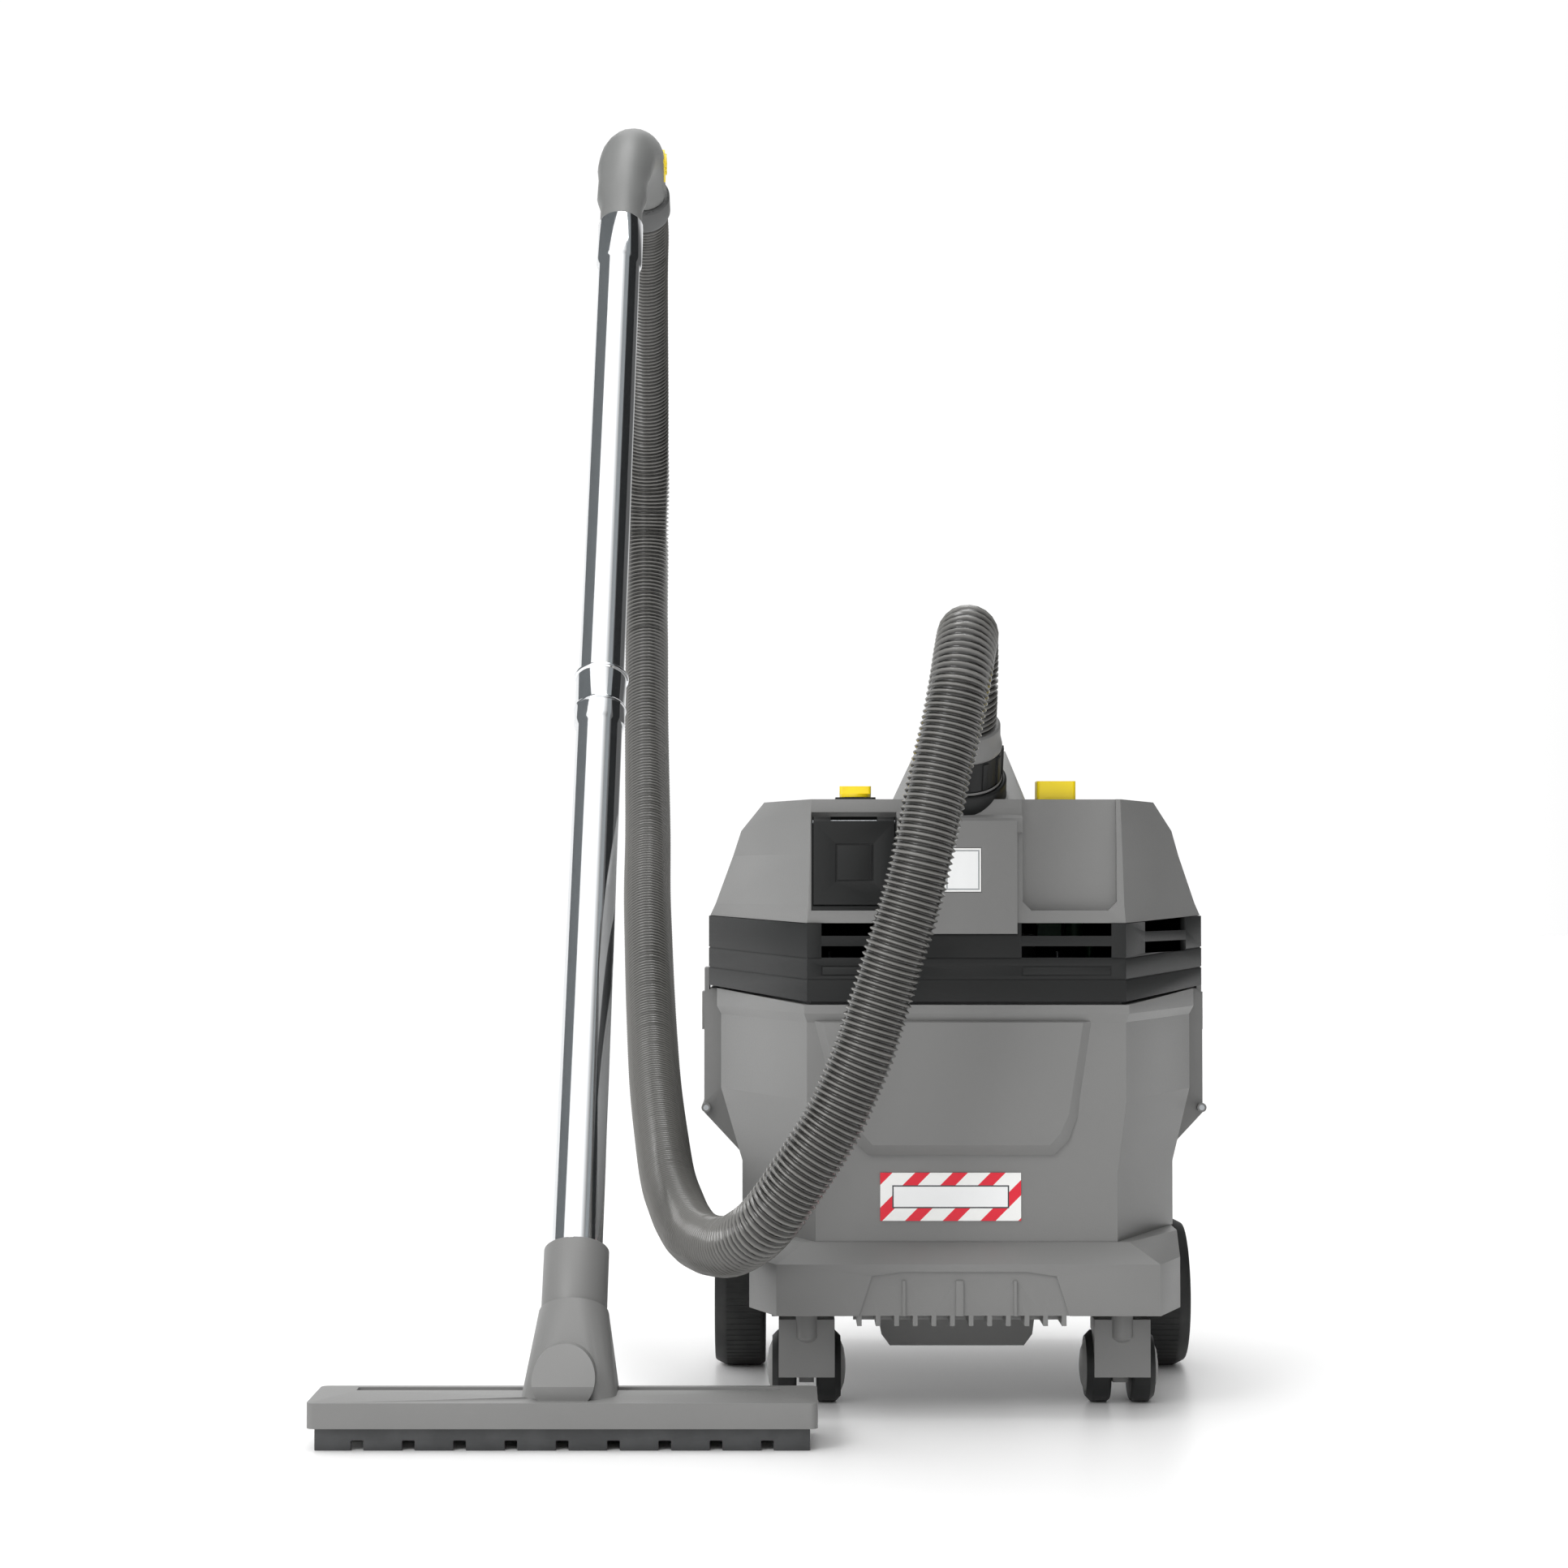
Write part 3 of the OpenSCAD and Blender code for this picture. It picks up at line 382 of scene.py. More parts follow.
@dataclass(frozen=True)
class MouldedRubber:
    """Black moulded rubber: dull, with dust in its grain."""

    name: str
    colour: str = "#1b1c1c"
    dust: str = "#2b2b2a"
    roughness: float = 0.62

    def make(self) -> bpy.types.Material:
        """Build the material.

        Returns:
            The finished material.
        """
        material, shader, tree = new_material(self.name)
        spot = add_node(tree, "ShaderNodeTexCoord")
        dust = add_node(
            tree,
            "ShaderNodeTexNoise",
            {"Scale": 60.0, "Detail": 5.0},
            {"Vector": spot.outputs["Object"]},
        )
        tone = add_node(tree, "ShaderNodeValToRGB", links={"Fac": dust.outputs["Fac"]})
        ramp(tone, [(0.4, self.colour), (0.75, self.dust)])
        tree.links.new(tone.outputs["Color"], shader.inputs["Base Color"])
        grain = add_node(
            tree,
            "ShaderNodeTexNoise",
            {"Scale": 1500.0, "Detail": 1.0},
            {"Vector": spot.outputs["Object"]},
        )
        bump = add_node(
            tree,
            "ShaderNodeBump",
            {"Strength": 0.15, "Distance": 0.0003},
            {"Height": grain.outputs["Fac"]},
        )
        tree.links.new(bump.outputs["Normal"], shader.inputs["Normal"])
        shader.inputs["Roughness"].default_value = self.roughness
        return material


@dataclass(frozen=True)
class PrintedPlate:
    """Printed film on a plate: diagonal bars or plain white, with one blank framed field."""

    name: str
    node: str
    ground: str = "#f6f6f4"
    bars: Optional[str] = None
    bar_mm: float = 26.0
    frame: str = "#3c4043"
    field: str = "#f4f5f5"
    # Left, right, bottom and top of the framed field, as shares of the plate.
    area: tuple[float, float, float, float] = (0.06, 0.94, 0.06, 0.94)
    line_mm: float = 1.0

    def make(self) -> bpy.types.Material:
        """Build the material over the plate's own box.

        Returns:
            The finished material.
        """
        material, shader, tree = new_material(self.name)
        low, high = (Vector(c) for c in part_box(self.node))
        wide, tall = high.x - low.x, high.z - low.z
        spot = add_node(tree, "ShaderNodeTexCoord")
        split = add_node(tree, "ShaderNodeSeparateXYZ", links={0: spot.outputs["Object"]})
        slant = add_node(
            tree,
            "ShaderNodeMath",
            {"operation": "SUBTRACT"},
            {0: split.outputs["X"], 1: split.outputs["Z"]},
        )
        turns = add_node(
            tree, "ShaderNodeMath", {"operation": "MULTIPLY", 1: 1000 / self.bar_mm}, {0: slant.outputs[0]}
        )
        part = add_node(tree, "ShaderNodeMath", {"operation": "FRACT"}, {0: turns.outputs[0]})
        tone = add_node(tree, "ShaderNodeValToRGB", links={"Fac": part.outputs[0]})
        tone.color_ramp.interpolation = "CONSTANT"
        ramp(tone, [(0.0, self.bars or self.ground), (0.4, self.ground)])
        left, right, bottom, top = self.area
        colour = tone.outputs["Color"]
        for inset, code in ((0.0, self.frame), (self.line_mm * MM, self.field)):
            mask = self.inside(
                tree,
                split,
                (low.x + left * wide + inset, low.x + right * wide - inset),
                (low.z + bottom * tall + inset, low.z + top * tall - inset),
            )
            mix = add_node(tree, "ShaderNodeMix", {"data_type": "RGBA"}, {0: mask, 6: colour})
            mix.inputs[7].default_value = linear_colour(code)
            colour = mix.outputs[2]
        tree.links.new(colour, shader.inputs["Base Color"])
        shader.inputs["Roughness"].default_value = 0.32
        return material

    def inside(
        self,
        tree: bpy.types.NodeTree,
        split: bpy.types.Node,
        x: tuple[float, float],
        z: tuple[float, float],
    ) -> bpy.types.NodeSocket:
        """Return a socket that is one inside a rectangle and zero outside it.

        Args:
            tree: The material's tree.
            split: The node with the separate coordinates.
            x: The rectangle's sides, in metres.
            z: Its bottom and top, in metres.

        Returns:
            The mask's socket.
        """
        mask: Optional[bpy.types.NodeSocket] = None
        for axis, (low, high) in (("X", x), ("Z", z)):
            for kind, edge in (("GREATER_THAN", low), ("LESS_THAN", high)):
                test = add_node(
                    tree, "ShaderNodeMath", {"operation": kind, 1: edge}, {0: split.outputs[axis]}
                )
                if mask is None:
                    mask = test.outputs[0]
                    continue
                both = add_node(
                    tree, "ShaderNodeMath", {"operation": "MULTIPLY"}, {0: mask, 1: test.outputs[0]}
                )
                mask = both.outputs[0]
        return mask


@dataclass(frozen=True)
class PaperFilm:
    """Plain paper or printed film with a soft fibre tone."""

    name: str
    colour: str
    fibre: str
    roughness: float = 0.5
    fibre_mm: float = 0.8

    def make(self) -> bpy.types.Material:
        """Build the material.

        Returns:
            The finished material.
        """
        material, shader, tree = new_material(self.name)
        spot = add_node(tree, "ShaderNodeTexCoord")
        fibres = add_node(
            tree,
            "ShaderNodeTexNoise",
            {"Scale": 1000 / self.fibre_mm, "Detail": 4.0},
            {"Vector": spot.outputs["Object"]},
        )
        tone = add_node(tree, "ShaderNodeValToRGB", links={"Fac": fibres.outputs["Fac"]})
        ramp(tone, [(0.35, self.fibre), (0.6, self.colour)])
        tree.links.new(tone.outputs["Color"], shader.inputs["Base Color"])
        shader.inputs["Roughness"].default_value = self.roughness
        return material


class Finish:
    """All the finishes of the machine, made once and shared."""

    def __init__(self) -> None:
        """Build every material."""
        self.grey = MouldedPlastic("grey_moulded_pp", "#7c7c7b", "#787877", 0.42, 1.1, 0.2).make()
        self.dark = MouldedPlastic("dark_moulded_pp", "#525353", "#4c4d4d", 0.45).make()
        self.black = MouldedPlastic("black_moulded_abs", "#1f2020", "#1b1c1c", 0.42, gloss=0.28).make()
        self.handle = MouldedPlastic("handle_moulded_pp", "#777877", "#727372", 0.42).make()
        self.yellow = MouldedPlastic("yellow_moulded_abs", "#ffe500", "#fbdc00", 0.3, 1.2, 0.04, 0.2).make()
        self.board = MouldedPlastic("board_laminate", "#2d6a3f", "#28603a", 0.35).make()
        self.clear = MouldedPlastic("float_pe", "#dfe3e5", "#d6dadc", 0.4).make()
        self.chrome = PlatedTube().make()
        self.steel = MachinedSteel().make()
        self.alloy = MachinedSteel("cast_alloy", "#c4c6c8", 0.4, 0.9).make()
        self.hose = HoseVinyl().make()
        self.tyre = MouldedRubber("tyre_rubber").make()
        self.seal = MouldedRubber("seal_rubber", "#3a3b3c", "#454647", 0.55).make()
        self.label = PrintedPlate(
            "striped_label", "label_plate", bars="#e2062c", area=(0.085, 0.915, 0.26, 0.74)
        ).make()
        self.badge = PrintedPlate(
            "badge_print", "badge_plate", frame="#9fa3a5", area=(0.04, 0.96, 0.04, 0.96)
        ).make()
        self.filter = PaperFilm("filter_paper", "#e9e6db", "#dcd8ca", 0.85).make()


# ---------------------------------------------------------------- mesh tools


def finish_mesh(mesh: bpy.types.Mesh, angle: float = 32.0) -> None:
    """Shade a mesh smooth except over edges sharper than an angle.

    Args:
        mesh: The mesh.
        angle: The limit in degrees.
    """
    mesh.polygons.foreach_set("use_smooth", [True] * len(mesh.polygons))
    mesh.set_sharp_from_angle(angle=math.radians(angle))


def add_object(name: str, mesh: bpy.types.Mesh, material: Optional[bpy.types.Material]) -> bpy.types.Object:
    """Link a mesh into the scene as an object at the origin.

    Args:
        name: The object's name.
        mesh: Its mesh, already in place.
        material: Its only material, or None to keep the mesh's own.

    Returns:
        The object.
    """
    obj = bpy.data.objects.new(name, mesh)
    bpy.context.scene.collection.objects.link(obj)
    if material is not None:
        mesh.materials.clear()
        mesh.materials.append(material)
    return obj


def applied(obj: bpy.types.Object) -> bpy.types.Object:
    """Turn an object with modifiers into a plain mesh object at the origin.

    Args:
        obj: The object; its modifiers are removed.

    Returns:
        The same object, with the result as its mesh.
    """
    graph = bpy.context.evaluated_depsgraph_get()
    mesh = bpy.data.meshes.new_from_object(obj.evaluated_get(graph), depsgraph=graph)
    old = obj.data
    obj.modifiers.clear()
    if obj.type == "MESH":
        obj.data = mesh
        return obj
    name = obj.name
    bpy.data.objects.remove(obj)
    bpy.data.curves.remove(old)
    return add_object(name, mesh, None)


@dataclass
class Moulding:
    """A copy of a CAD node with its edges rounded, which stands for the node."""

    node: str
    body: Body
    material: bpy.types.Material
    edge_mm: float = 1.2
    segments: int = 3

    def build(self) -> bpy.types.Object:
        """Merge the node's triangles, round its edges and dress it.

        Returns:
            The rounded copy, riding on its body.
        """
        source = frame["nodes"][self.node]
        mesh = source.data.copy()
        work = bmesh.new()
        work.from_mesh(mesh)
        bmesh.ops.remove_doubles(work, verts=work.verts, dist=WELD)
        bmesh.ops.dissolve_limit(
            work, angle_limit=math.radians(FLAT_DEG), verts=work.verts, edges=work.edges
        )
        # A face that runs round a hole would close over it when its edges are rounded.
        bmesh.ops.triangulate(work, faces=[f for f in work.faces if len(f.verts) > 4])
        work.to_mesh(mesh)
        work.free()
        obj = add_object(f"{self.node}_moulding", mesh, self.material)
        bevel = obj.modifiers.new("edges", "BEVEL")
        bevel.width = self.edge_mm * MM
        bevel.segments = self.segments
        bevel.limit_method = "ANGLE"
        bevel.angle_limit = math.radians(ROUND_DEG)
        bevel.miter_outer = "MITER_ARC"
        bevel.use_clamp_overlap = True
        applied(obj)
        finish_mesh(obj.data)
        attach(obj, self.body.value)
        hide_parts(self.node)
        LOG.info("moulding %s: %d faces", self.node, len(obj.data.polygons))
        return obj


def dress(node: str, material: bpy.types.Material) -> None:
    """Give a CAD node that stays in view its finish.

    Args:
        node: The node's name.
        material: Its material.
    """
    obj = frame["nodes"][node]
    obj.data.materials.clear()
    obj.data.materials.append(material)
    LOG.info("dressed %s", node)


# ---------------------------------------------------------------- geometry trees


class GeoTree:
    """A Geometry Nodes tree with named inputs that ends in Realize Instances and Set Material."""

    def __init__(self, name: str) -> None:
        """Make the tree with its geometry sockets."""
        self.tree = bpy.data.node_groups.new(name, "GeometryNodeTree")
        self.tree.interface.new_socket("Geometry", in_out="INPUT", socket_type="NodeSocketGeometry")
        self.tree.interface.new_socket("Geometry", in_out="OUTPUT", socket_type="NodeSocketGeometry")
        self.source = self.tree.nodes.new("NodeGroupInput")

    def add_input(self, name: str, kind: str) -> None:
        """Add a named input of a socket kind such as Float, Int or Vector."""
        self.tree.interface.new_socket(name, in_out="INPUT", socket_type=f"NodeSocket{kind}")

    def value(self, name: str) -> bpy.types.NodeSocket:
        """Return the output socket of a named input."""
        return self.source.outputs[name]

    def add(
        self,
        kind: str,
        settings: Optional[dict[str, Any]] = None,
        links: Optional[dict[Any, Any]] = None,
    ) -> bpy.types.Node:
        """Add a node to the tree, as add_node does."""
        return add_node(self.tree, kind, settings, links)

    def close(self, geometry: bpy.types.NodeSocket) -> None:
        """End the tree.

        Args:
            geometry: The socket that carries the finished shape.
        """
        real = self.add("GeometryNodeRealizeInstances", links={0: geometry})
        skin = self.add(
            "GeometryNodeSetMaterial",
            links={"Geometry": real.outputs[0], "Material": self.value("Material")},
        )
        self.add("NodeGroupOutput", links={0: skin.outputs[0]})

    def run(self, obj: bpy.types.Object, values: dict[str, Any]) -> bpy.types.Object:
        """Run the tree on an object and keep the result as its mesh.

        Args:
            obj: The object that carries the tree's input.
            values: The named inputs' values.

        Returns:
            The object with a plain mesh.
        """
        modifier = obj.modifiers.new(self.tree.name, "NODES")
        modifier.node_group = self.tree
        for item in self.tree.interface.items_tree:
            if item.item_type == "SOCKET" and item.in_out == "INPUT" and item.name in values:
                modifier[item.identifier] = values[item.name]
        return applied(obj)


def ribbed_tree() -> GeoTree:
    """Build the tree that sweeps a round ribbed wall along a curve.

    Returns:
        The tree, with the rib's pitch and height and the wall's radius and sides as inputs.
    """
    geo = GeoTree("ribbed_wall")
    for name in ("Pitch", "Rib Height", "Radius"):
        geo.add_input(name, "Float")
    geo.add_input("Sides", "Int")
    geo.add_input("Material", "Material")
    step = geo.add("ShaderNodeMath", {"operation": "DIVIDE", 1: RINGS_PER_RIB}, {0: geo.value("Pitch")})
    even = geo.add(
        "GeometryNodeResampleCurve",
        {"mode": "LENGTH"},
        {"Curve": geo.value("Geometry"), "Length": step.outputs[0]},
    )
    along = geo.add("GeometryNodeSplineParameter")
    turns = geo.add(
        "ShaderNodeMath",
        {"operation": "DIVIDE"},
        {0: along.outputs["Length"], 1: geo.value("Pitch")},
    )
    phase = geo.add("ShaderNodeMath", {"operation": "MULTIPLY", 1: math.tau}, {0: turns.outputs[0]})
    wave = geo.add("ShaderNodeMath", {"operation": "COSINE"}, {0: phase.outputs[0]})
    lifted = geo.add(
        "ShaderNodeMath", {"operation": "MULTIPLY_ADD", 1: 0.5, 2: 0.5}, {0: wave.outputs[0]}
    )
    # Narrow crests with wider rounded valleys between them.
    crest = geo.add("ShaderNodeMath", {"operation": "POWER", 1: CREST_SHARPNESS}, {0: lifted.outputs[0]})
    named = geo.add(
        "GeometryNodeStoreNamedAttribute",
        {"data_type": "FLOAT", "domain": "POINT", "Name": "rib_height"},
        {"Geometry": even.outputs[0], "Value": crest.outputs[0]},
    )
    ring = geo.add(
        "GeometryNodeCurvePrimitiveCircle",
        links={"Resolution": geo.value("Sides"), "Radius": geo.value("Radius")},
    )
    wall = geo.add(
        "GeometryNodeCurveToMesh",
        {"Fill Caps": True},
        {"Curve": named.outputs[0], "Profile Curve": ring.outputs[0]},
    )
    height = geo.add("GeometryNodeInputNamedAttribute", {"data_type": "FLOAT", "Name": "rib_height"})
    down = geo.add(
        "ShaderNodeMath", {"operation": "SUBTRACT", 1: 1.0}, {0: height.outputs["Attribute"]}
    )
    depth = geo.add(
        "ShaderNodeMath", {"operation": "MULTIPLY"}, {0: down.outputs[0], 1: geo.value("Rib Height")}
    )
    normal = geo.add("GeometryNodeInputNormal")
    shift = geo.add(
        "ShaderNodeVectorMath",
        {"operation": "SCALE"},
        {0: normal.outputs[0], "Scale": depth.outputs[0]},
    )
    moved = geo.add(
        "GeometryNodeSetPosition", links={"Geometry": wall.outputs[0], "Offset": shift.outputs[0]}
    )
    geo.close(moved.outputs[0])
    return geo


def ring_tree() -> GeoTree:
    """Build the tree that sets blocks in a ring round the Z axis.

    Returns:
        The tree, with the blocks' count, radius and size as inputs.
    """
    geo = GeoTree("ring_of_blocks")
    geo.add_input("Count", "Int")
    geo.add_input("Radius", "Float")
    geo.add_input("Size", "Vector")
    geo.add_input("Material", "Material")
    ring = geo.add(
        "GeometryNodeMeshCircle", links={"Vertices": geo.value("Count"), "Radius": geo.value("Radius")}
    )
    block = geo.add("GeometryNodeMeshCube", links={"Size": geo.value("Size")})
    spot = geo.add("GeometryNodeInputPosition")
    turn = geo.add(
        "FunctionNodeAlignRotationToVector", {"axis": "X"}, {"Vector": spot.outputs[0]}
    )
    many = geo.add(
        "GeometryNodeInstanceOnPoints",
        links={"Points": ring.outputs[0], "Instance": block.outputs[0], "Rotation": turn.outputs[0]},
    )
    geo.close(many.outputs[0])
    return geo


def empty_carrier(name: str) -> bpy.types.Object:
    """Return an empty mesh object for a tree that needs no input shape."""
    return add_object(name, bpy.data.meshes.new(name), None)


def put(obj: bpy.types.Object, matrix: Matrix) -> None:
    """Move an object's mesh to its place and leave the object at the origin."""
    obj.data.transform(matrix)
    obj.data.update()


# ---------------------------------------------------------------- studio


@dataclass
class Studio:
    """Pale floor, soft lights and the camera."""

    lens_mm: float = 72.0
    sensor_mm: float = 36.0
    pitch_deg: float = 1.84
    eye: Point = (-125.8, -2343.0, 363.8)
    floor_m: float = 40.0
    sky: float = 1.04
    ceiling: float = 1.5
    right_dim: float = 0.12
    # How far to the right the studio starts to dim and is dimmest, and how far up it brightens.
    dim_from: float = 0.22
    dim_full: float = 0.6
    ceiling_from: float = 0.3
    ceiling_full: float = 0.8
    aim: Point = (-100.0, 0.0, 400.0)
    wand_middle: Point = (-266.0, 100.0, 560.0)
    # Half a flag's length and its distance from the wand, and the lowest it may hang.
    flag_reach_m: float = 2.4
    flag_low_m: float = 0.02

    def build(self) -> None:
        """Make the camera, the floor and the lights."""
        self.camera()
        self.floor()
        self.lights()
        LOG.info("studio ready")

    def camera(self) -> None:
        """Set the camera at the view's height and distance."""
        data = bpy.data.cameras.new("camera")
        data.lens = self.lens_mm
        data.sensor_width = self.sensor_mm
        camera = bpy.data.objects.new("camera", data)
        camera.location = place(*self.eye)
        camera.rotation_euler = (math.radians(90 + self.pitch_deg), 0, 0)
        bpy.context.scene.collection.objects.link(camera)
        bpy.context.scene.camera = camera

    def floor(self) -> None:
        """Lay the pale floor."""
        half = self.floor_m / 2
        mesh = bpy.data.meshes.new("floor")
        mesh.from_pydata(
            [(-half, -half, 0), (half, -half, 0), (half, half, 0), (-half, half, 0)], [], [(0, 1, 2, 3)]
        )
        material, shader, tree = new_material("floor_paint")
        spot = add_node(tree, "ShaderNodeTexCoord")
        cloud = add_node(
            tree, "ShaderNodeTexNoise", {"Scale": 3.0}, {"Vector": spot.outputs["Object"]}
        )
        tone = add_node(tree, "ShaderNodeValToRGB", links={"Fac": cloud.outputs["Fac"]})
        ramp(tone, [(0.3, "#fcfcfc"), (0.7, "#ffffff")])
        tree.links.new(tone.outputs["Color"], shader.inputs["Base Color"])
        shader.inputs["Roughness"].default_value = 0.35
        add_object("floor", mesh, material)

    def lights(self) -> None:
        """Hang the soft lights and the dark cards that edge the chrome."""
        world = bpy.data.worlds.new("studio")
        world.use_nodes = True
        tree = world.node_tree
        way = add_node(tree, "ShaderNodeTexCoord")
        split = add_node(tree, "ShaderNodeSeparateXYZ", links={0: way.outputs["Generated"]})
        # The studio's right-hand side is dim and its ceiling bright.
        side = add_node(
            tree,
            "ShaderNodeMapRange",
            {
                "From Min": self.dim_from,
                "From Max": self.dim_full,
                "To Min": 1.0,
                "To Max": self.right_dim,
            },
            {"Value": split.outputs["X"]},
        )
        ceiling = add_node(
            tree,
            "ShaderNodeMapRange",
            {
                "From Min": self.ceiling_from,
                "From Max": self.ceiling_full,
                "To Min": self.sky,
                "To Max": self.ceiling,
            },
            {"Value": split.outputs["Z"]},
        )
        power = add_node(
            tree, "ShaderNodeMath", {"operation": "MULTIPLY"}, {0: side.outputs[0], 1: ceiling.outputs[0]}
        )
        back = tree.nodes["Background"]
        back.inputs["Color"].default_value = (1, 1, 1, 1)
        tree.links.new(power.outputs[0], back.inputs["Strength"])
        bpy.context.scene.world = world
        bpy.context.scene.view_settings.view_transform = "Standard"
        self.soft_box("key", (-1500, -2100, 1900), (900, 1100), 20)
        self.soft_box("top", (0, 100, 2400), (1100, 900), 12)
        self.flag("flag_left", (-0.82, 0.24, 0.51), 3000, "#6f7375")
        self.flag("flag_near", (0.57, -0.18, 0.80), 700, "#8c9092")
        self.flag("flag_right", (0.80, 0.17, 0.56), 1700, "#141617")

    def soft_box(self, name: str, spot: Point, size: tuple[float, float], watts: float) -> None:
        """Hang one soft box that faces the machine.

        Args:
            name: The light's name.
            spot: Its place in the machine's axes, in millimetres.
            size: Its width and height in millimetres.
            watts: Its power.
        """
        data = bpy.data.lights.new(name, "AREA")
        data.shape = "RECTANGLE"
        data.size, data.size_y = size[0] * MM, size[1] * MM
        data.energy = watts
        light = bpy.data.objects.new(name, data)
        light.location = place(*spot)
        aim = place(*self.aim) - light.location
        light.rotation_euler = aim.to_track_quat("-Z", "Y").to_euler()
        bpy.context.scene.collection.objects.link(light)

    def flag(self, name: str, way: Point, width: float, shade: str) -> None:
        """Hang a long dark flag over the machine, seen only as a stripe in shiny pieces.

        Args:
            name: The flag's name.
            way: Its direction from the wand.
            width: Its width in millimetres.
            shade: Its sRGB hex value.
        """
        ahead = Vector(way).normalized()
        # The flag's length lies along the wand, so that its stripe does too.
        lean = math.radians(WAND_LEAN_DEG)
        wand = Vector((0, math.sin(lean), math.cos(lean)))
        across = ahead.cross(wand).normalized() * width * MM / 2
        along = across.cross(ahead).normalized() * self.flag_reach_m
        middle = place(*self.wand_middle) + ahead * self.flag_reach_m
        mesh = bpy.data.meshes.new(name)
        corners = [
            middle - across - along,
            middle + across - along,
            middle + across + along,
            middle - across + along,
        ]
        mesh.from_pydata([(c.x, c.y, max(c.z, self.flag_low_m)) for c in corners], [], [(0, 1, 2, 3)])
        material, shader, _ = new_material(f"{name}_felt")
        shader.inputs["Base Color"].default_value = linear_colour(shade)
        shader.inputs["Roughness"].default_value = 0.95
        card = add_object(name, mesh, material)
        card.visible_camera = False
        card.visible_diffuse = False
        card.visible_shadow = False


# ---------------------------------------------------------------- sub-assemblies


@dataclass
class SuctionHose:
    """Ribbed hose from the handle's swivel to the inlet's coupling."""

    finish: Finish
    diameter_mm: float = 42.0
    pitch_mm: float = 4.2
    rib_mm: float = 2.2
    sides: int = 22
    smooth_deg: float = 80.0
    # Where the hose starts and stops to stretch when the head lifts.
    stretch_from: Point = (-140.0, -250.0, 136.0)
    stretch_to: Point = (-30.0, -250.0, 136.0)
    # The hose's route in the machine's axes, in millimetres, as in the CAD source.
    route: list[Point] = field(
        default_factory=lambda: [
            (-253, 505.6, 975.9), (-253, 532, 962.5), (-255, 570, 938), (-257, 628, 894),
            (-258, 664, 863), (-259, 698, 829), (-260, 727, 794), (-260, 747, 756),
            (-261, 756, 716), (-261, 752, 676), (-261, 740, 635), (-260, 720, 594),
            (-258, 672, 528), (-255, 617, 471), (-251, 542, 409), (-248, 462, 357),
            (-244, 397, 314), (-240, 337, 274), (-235, 267, 235), (-229, 187, 200),
            (-221, 102, 168), (-213, 22, 143), (-205, -33, 130), (-198, -78, 122),
            (-190, -121, 117), (-181, -153, 115), (-172, -183, 116), (-162, -209, 119),
            (-152, -231, 126), (-141, -247, 136), (-130, -257, 150), (-118, -263, 168),
            (-105, -267, 188), (-92, -269, 210), (-82, -270, 232), (-73, -271, 254),
            (-66, -271, 276), (-59, -271, 298), (-52, -272, 321), (-45, -272, 343),
            (-39, -272, 364), (-34, -272, 385), (-28, -269, 412), (-22, -265, 439),
            (-15, -261, 467), (-9, -256, 496), (-5, -246, 518), (-2, -232, 531),
            (-1, -216, 530), (0, -204, 514), (0, -196, 494.7), (0, -183, 476.1),
        ]
    )

    def smooth_route(self, steps: int = 8) -> list[Vector]:
        """Put extra points on a smooth curve through the route's own.

        Args:
            steps: Points for each stretch of the route.

        Returns:
            The points in the row frame, in metres.
        """
        own = [place(*p) for p in self.route]
        line: list[Vector] = []
        for i in range(len(own) - 1):
            a, b, c = own[max(i - 1, 0)], own[i], own[i + 1]
            d = own[min(i + 2, len(own) - 1)]
            for k in range(steps):
                u = k / steps
                bow = 2 * a - 5 * b + 4 * c - d
                twist = 3 * b - a - 3 * c + d
                line.append(0.5 * (2 * b + (c - a) * u + bow * u**2 + twist * u**3))
        line.append(own[-1])
        return line

    def build(self) -> bpy.types.Object:
        """Returns:
            The hose.
        """
        line = self.smooth_route()
        data = bpy.data.curves.new("suction_hose_ribbed", "CURVE")
        data.dimensions = "3D"
        spline = data.splines.new("POLY")
        spline.points.add(len(line) - 1)
        for point, spot in zip(spline.points, line):
            point.co = (*spot, 1.0)
        carrier = bpy.data.objects.new("suction_hose_ribbed", data)
        bpy.context.scene.collection.objects.link(carrier)
        hose = ribbed_tree().run(
            carrier,
            {
                "Pitch": self.pitch_mm * MM,
                "Rib Height": self.rib_mm * MM,
                "Radius": self.diameter_mm / 2 * MM,
                "Sides": self.sides,
                "Material": self.finish.hose,
            },
        )
        finish_mesh(hose.data, self.smooth_deg)
        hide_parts("suction_hose")
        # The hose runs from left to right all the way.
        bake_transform(hose)
        return hose


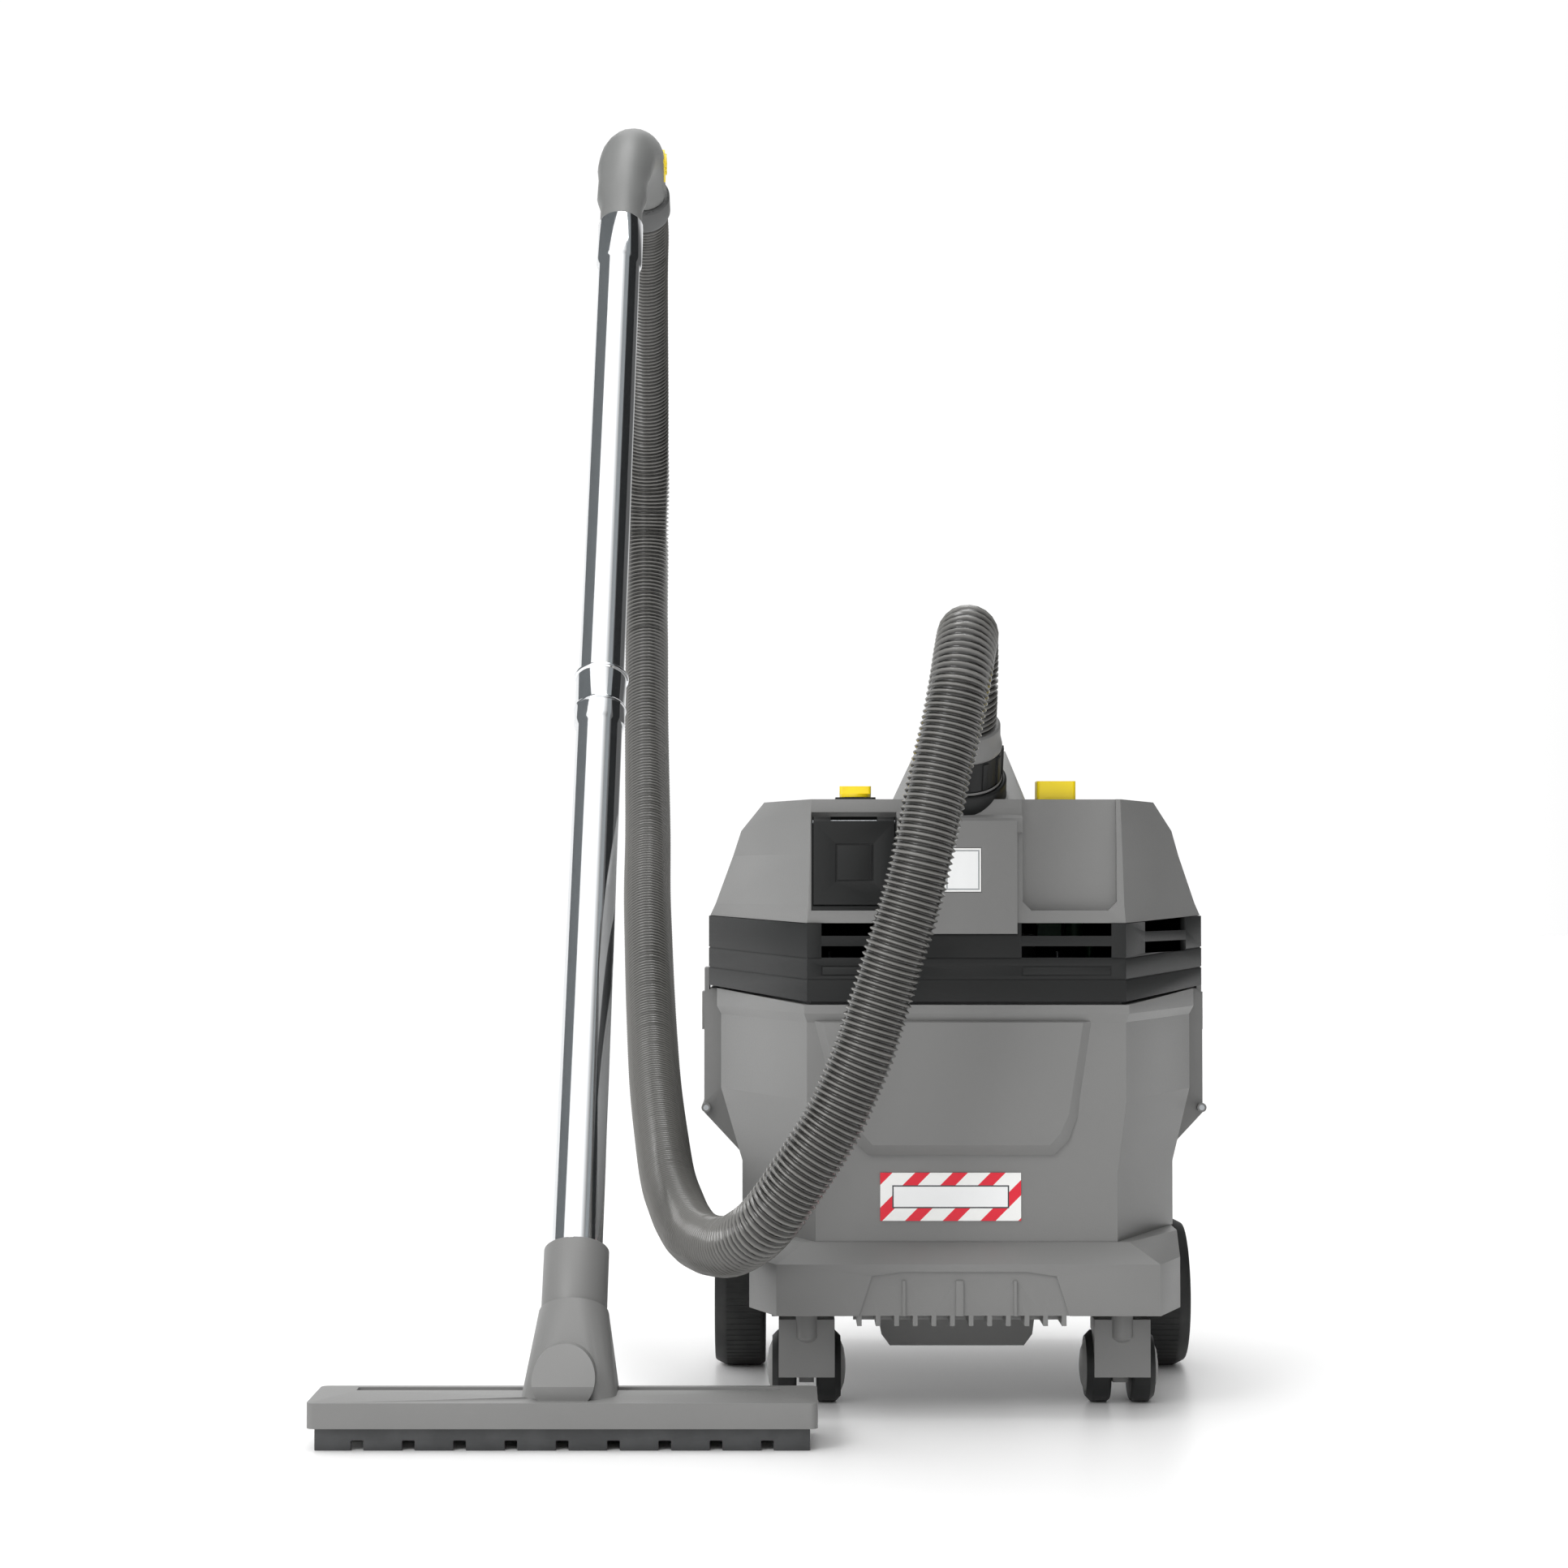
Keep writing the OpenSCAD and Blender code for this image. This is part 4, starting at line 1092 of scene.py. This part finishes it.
@dataclass
class RunningGear:
    """Rear wheels with their tread, the castors and their axles."""

    finish: Finish
    wheel_radius_mm: float = 55.0
    wheel_width_mm: float = 38.0
    wheel_inner_mm: float = 139.5
    axle_y_mm: float = 55.0
    lugs: int = 72
    # How deep a lug's middle sits in the tyre, its height and its length round the tyre.
    lug_sunk_mm: float = 0.15
    lug_height_mm: float = 0.9
    lug_length_mm: float = 1.6
    # The plain shoulders beside the tread, both together, and the tread's shift towards the machine.
    shoulders_mm: float = 13.0
    tread_shift_mm: float = 2.5

    def build(self) -> None:
        """Round and dress the wheels and forks, then lay the tread."""
        f = self.finish
        for side, wheel, fork, castor in (
            ("left", Body.WHEEL_LEFT, Body.FORK_LEFT, Body.CASTOR_LEFT),
            ("right", Body.WHEEL_RIGHT, Body.FORK_RIGHT, Body.CASTOR_RIGHT),
        ):
            Moulding(f"rear_wheel_{side}", wheel, f.tyre, 1.5).build()
            Moulding(f"wheel_cap_{side}", wheel, f.dark, 0.8).build()
            Moulding(f"castor_fork_{side}", fork, f.grey, 1.6).build()
            Moulding(f"castor_wheels_{side}", castor, f.black, 1.2).build()
            Moulding(f"castor_caps_{side}", castor, f.grey, 0.8).build()
            self.tread(side, wheel)
        dress("rear_axle", f.steel)

    def tread(self, side: str, body: Body) -> None:
        """Lay low tread lugs round one rear wheel.

        Args:
            side: left or right.
            body: The wheel's body.
        """
        ring = ring_tree().run(
            empty_carrier(f"tyre_tread_{side}"),
            {
                "Count": self.lugs,
                "Radius": (self.wheel_radius_mm - self.lug_sunk_mm) * MM,
                "Size": (
                    self.lug_height_mm * MM,
                    self.lug_length_mm * MM,
                    (self.wheel_width_mm - self.shoulders_mm) * MM,
                ),
                "Material": self.finish.tyre,
            },
        )
        sign = 1 if side == "right" else -1
        away = self.wheel_inner_mm + self.wheel_width_mm / 2 - self.tread_shift_mm
        middle = place(sign * away, self.axle_y_mm, self.wheel_radius_mm)
        put(ring, Matrix.Translation(middle) @ Matrix.Rotation(math.radians(90), 4, "Y"))
        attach(ring, body.value)


@dataclass
class Container:
    """Dirt container, its label, latches and chassis."""

    finish: Finish

    def build(self) -> None:
        """Round and dress the lower shells."""
        f = self.finish
        Moulding("container", Body.BASE, f.grey, 2.2, 4).build()
        Moulding("chassis", Body.BASE, f.grey, 1.8).build()
        Moulding("latch_left", Body.LATCH_LEFT, f.grey, 0.9).build()
        Moulding("latch_right", Body.LATCH_RIGHT, f.grey, 0.9).build()
        dress("label_plate", f.label)
        dress("latch_pins", f.steel)


@dataclass
class Head:
    """Motor head: cover, vent band, inlet, socket, controls and what is inside."""

    finish: Finish
    # How much the spring shortens when the button is down; the button itself travels 6 mm.
    spring_give_mm: float = 6.5

    def build(self) -> None:
        """Round and dress the head's pieces."""
        f = self.finish
        Moulding("head_cover", Body.HEAD, f.grey, 2.4, 4).build()
        Moulding("vent_band", Body.HEAD, f.black, 0.7, 2).build()
        Moulding("inlet_collar", Body.HEAD, f.black, 0.8).build()
        Moulding("hose_coupling", Body.COUPLING, f.black, 0.8).build()
        Moulding("coupling_ring", Body.COUPLING, f.grey, 0.5).build()
        Moulding("socket_frame", Body.HEAD, f.black, 0.8).build()
        Moulding("socket_flap", Body.FLAP, f.black, 0.6).build()
        Moulding("switch_plate", Body.HEAD, f.black, 0.5).build()
        Moulding("switch_knob", Body.KNOB, f.yellow, 0.8).build()
        Moulding("clean_button", Body.BUTTON, f.yellow, 1.8, 4).build()
        dress("badge_plate", f.badge)
        Moulding("cable_gland", Body.HEAD, f.black, 1.0).build()
        for node, material in {
            "head_base": f.dark, "rim_gasket": f.seal, "head_screws": f.steel, "inlet_duct": f.dark,
            "socket_insert": f.dark, "flap_pin": f.steel,
            "motor_housing": f.dark, "motor_stator": f.steel, "motor_rotor": f.steel,
            "fan_impeller": f.alloy, "motor_seal": f.seal, "circuit_board": f.board,
            "filter_cage": f.dark, "filter_cartridge": f.filter, "float_ball": f.clear,
        }.items():
            dress(node, material)
        self.spring()

    def spring(self) -> None:
        """Round the button's spring and give it a mesh of its own."""
        spring = Moulding("button_spring", Body.HEAD, self.finish.steel, 0.05, 1).build()
        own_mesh(spring)


@dataclass
class WandAndNozzle:
    """Steel tubes, handle and floor nozzle."""

    finish: Finish

    def build(self) -> None:
        """Round and dress the suction side."""
        f = self.finish
        Moulding("tube_lower", Body.BASE, f.chrome, 0.5).build()
        Moulding("tube_upper", Body.BASE, f.chrome, 0.5).build()
        Moulding("handle_bend", Body.BASE, f.handle, 0.8).build()
        Moulding("hose_swivel", Body.SWIVEL, f.dark, 1.2).build()
        Moulding("air_slider", Body.SLIDER, f.yellow, 0.5).build()
        Moulding("nozzle_body", Body.BASE, f.grey, 1.6).build()
        Moulding("nozzle_neck", Body.BASE, f.grey, 0.8).build()
        Moulding("front_lip", Body.BASE, f.seal, 0.5, 2).build()
        Moulding("rear_lip", Body.BASE, f.seal, 0.5, 2).build()
        Moulding("roller_left", Body.ROLLER_LEFT, f.black, 0.6).build()
        Moulding("roller_right", Body.ROLLER_RIGHT, f.black, 0.6).build()
        dress("handle_sleeve", f.dark)
        dress("roller_axle", f.steel)
        dress("nozzle_screws", f.steel)


def main() -> None:
    """Build the studio and the machine in order."""
    logging.basicConfig(level=logging.INFO, format="%(name)s: %(message)s")
    finish = Finish()
    Studio().build()
    SuctionHose(finish).build()
    Container(finish).build()
    RunningGear(finish).build()
    Head(finish).build()
    WandAndNozzle(finish).build()


if __name__ == "__main__":
    main()
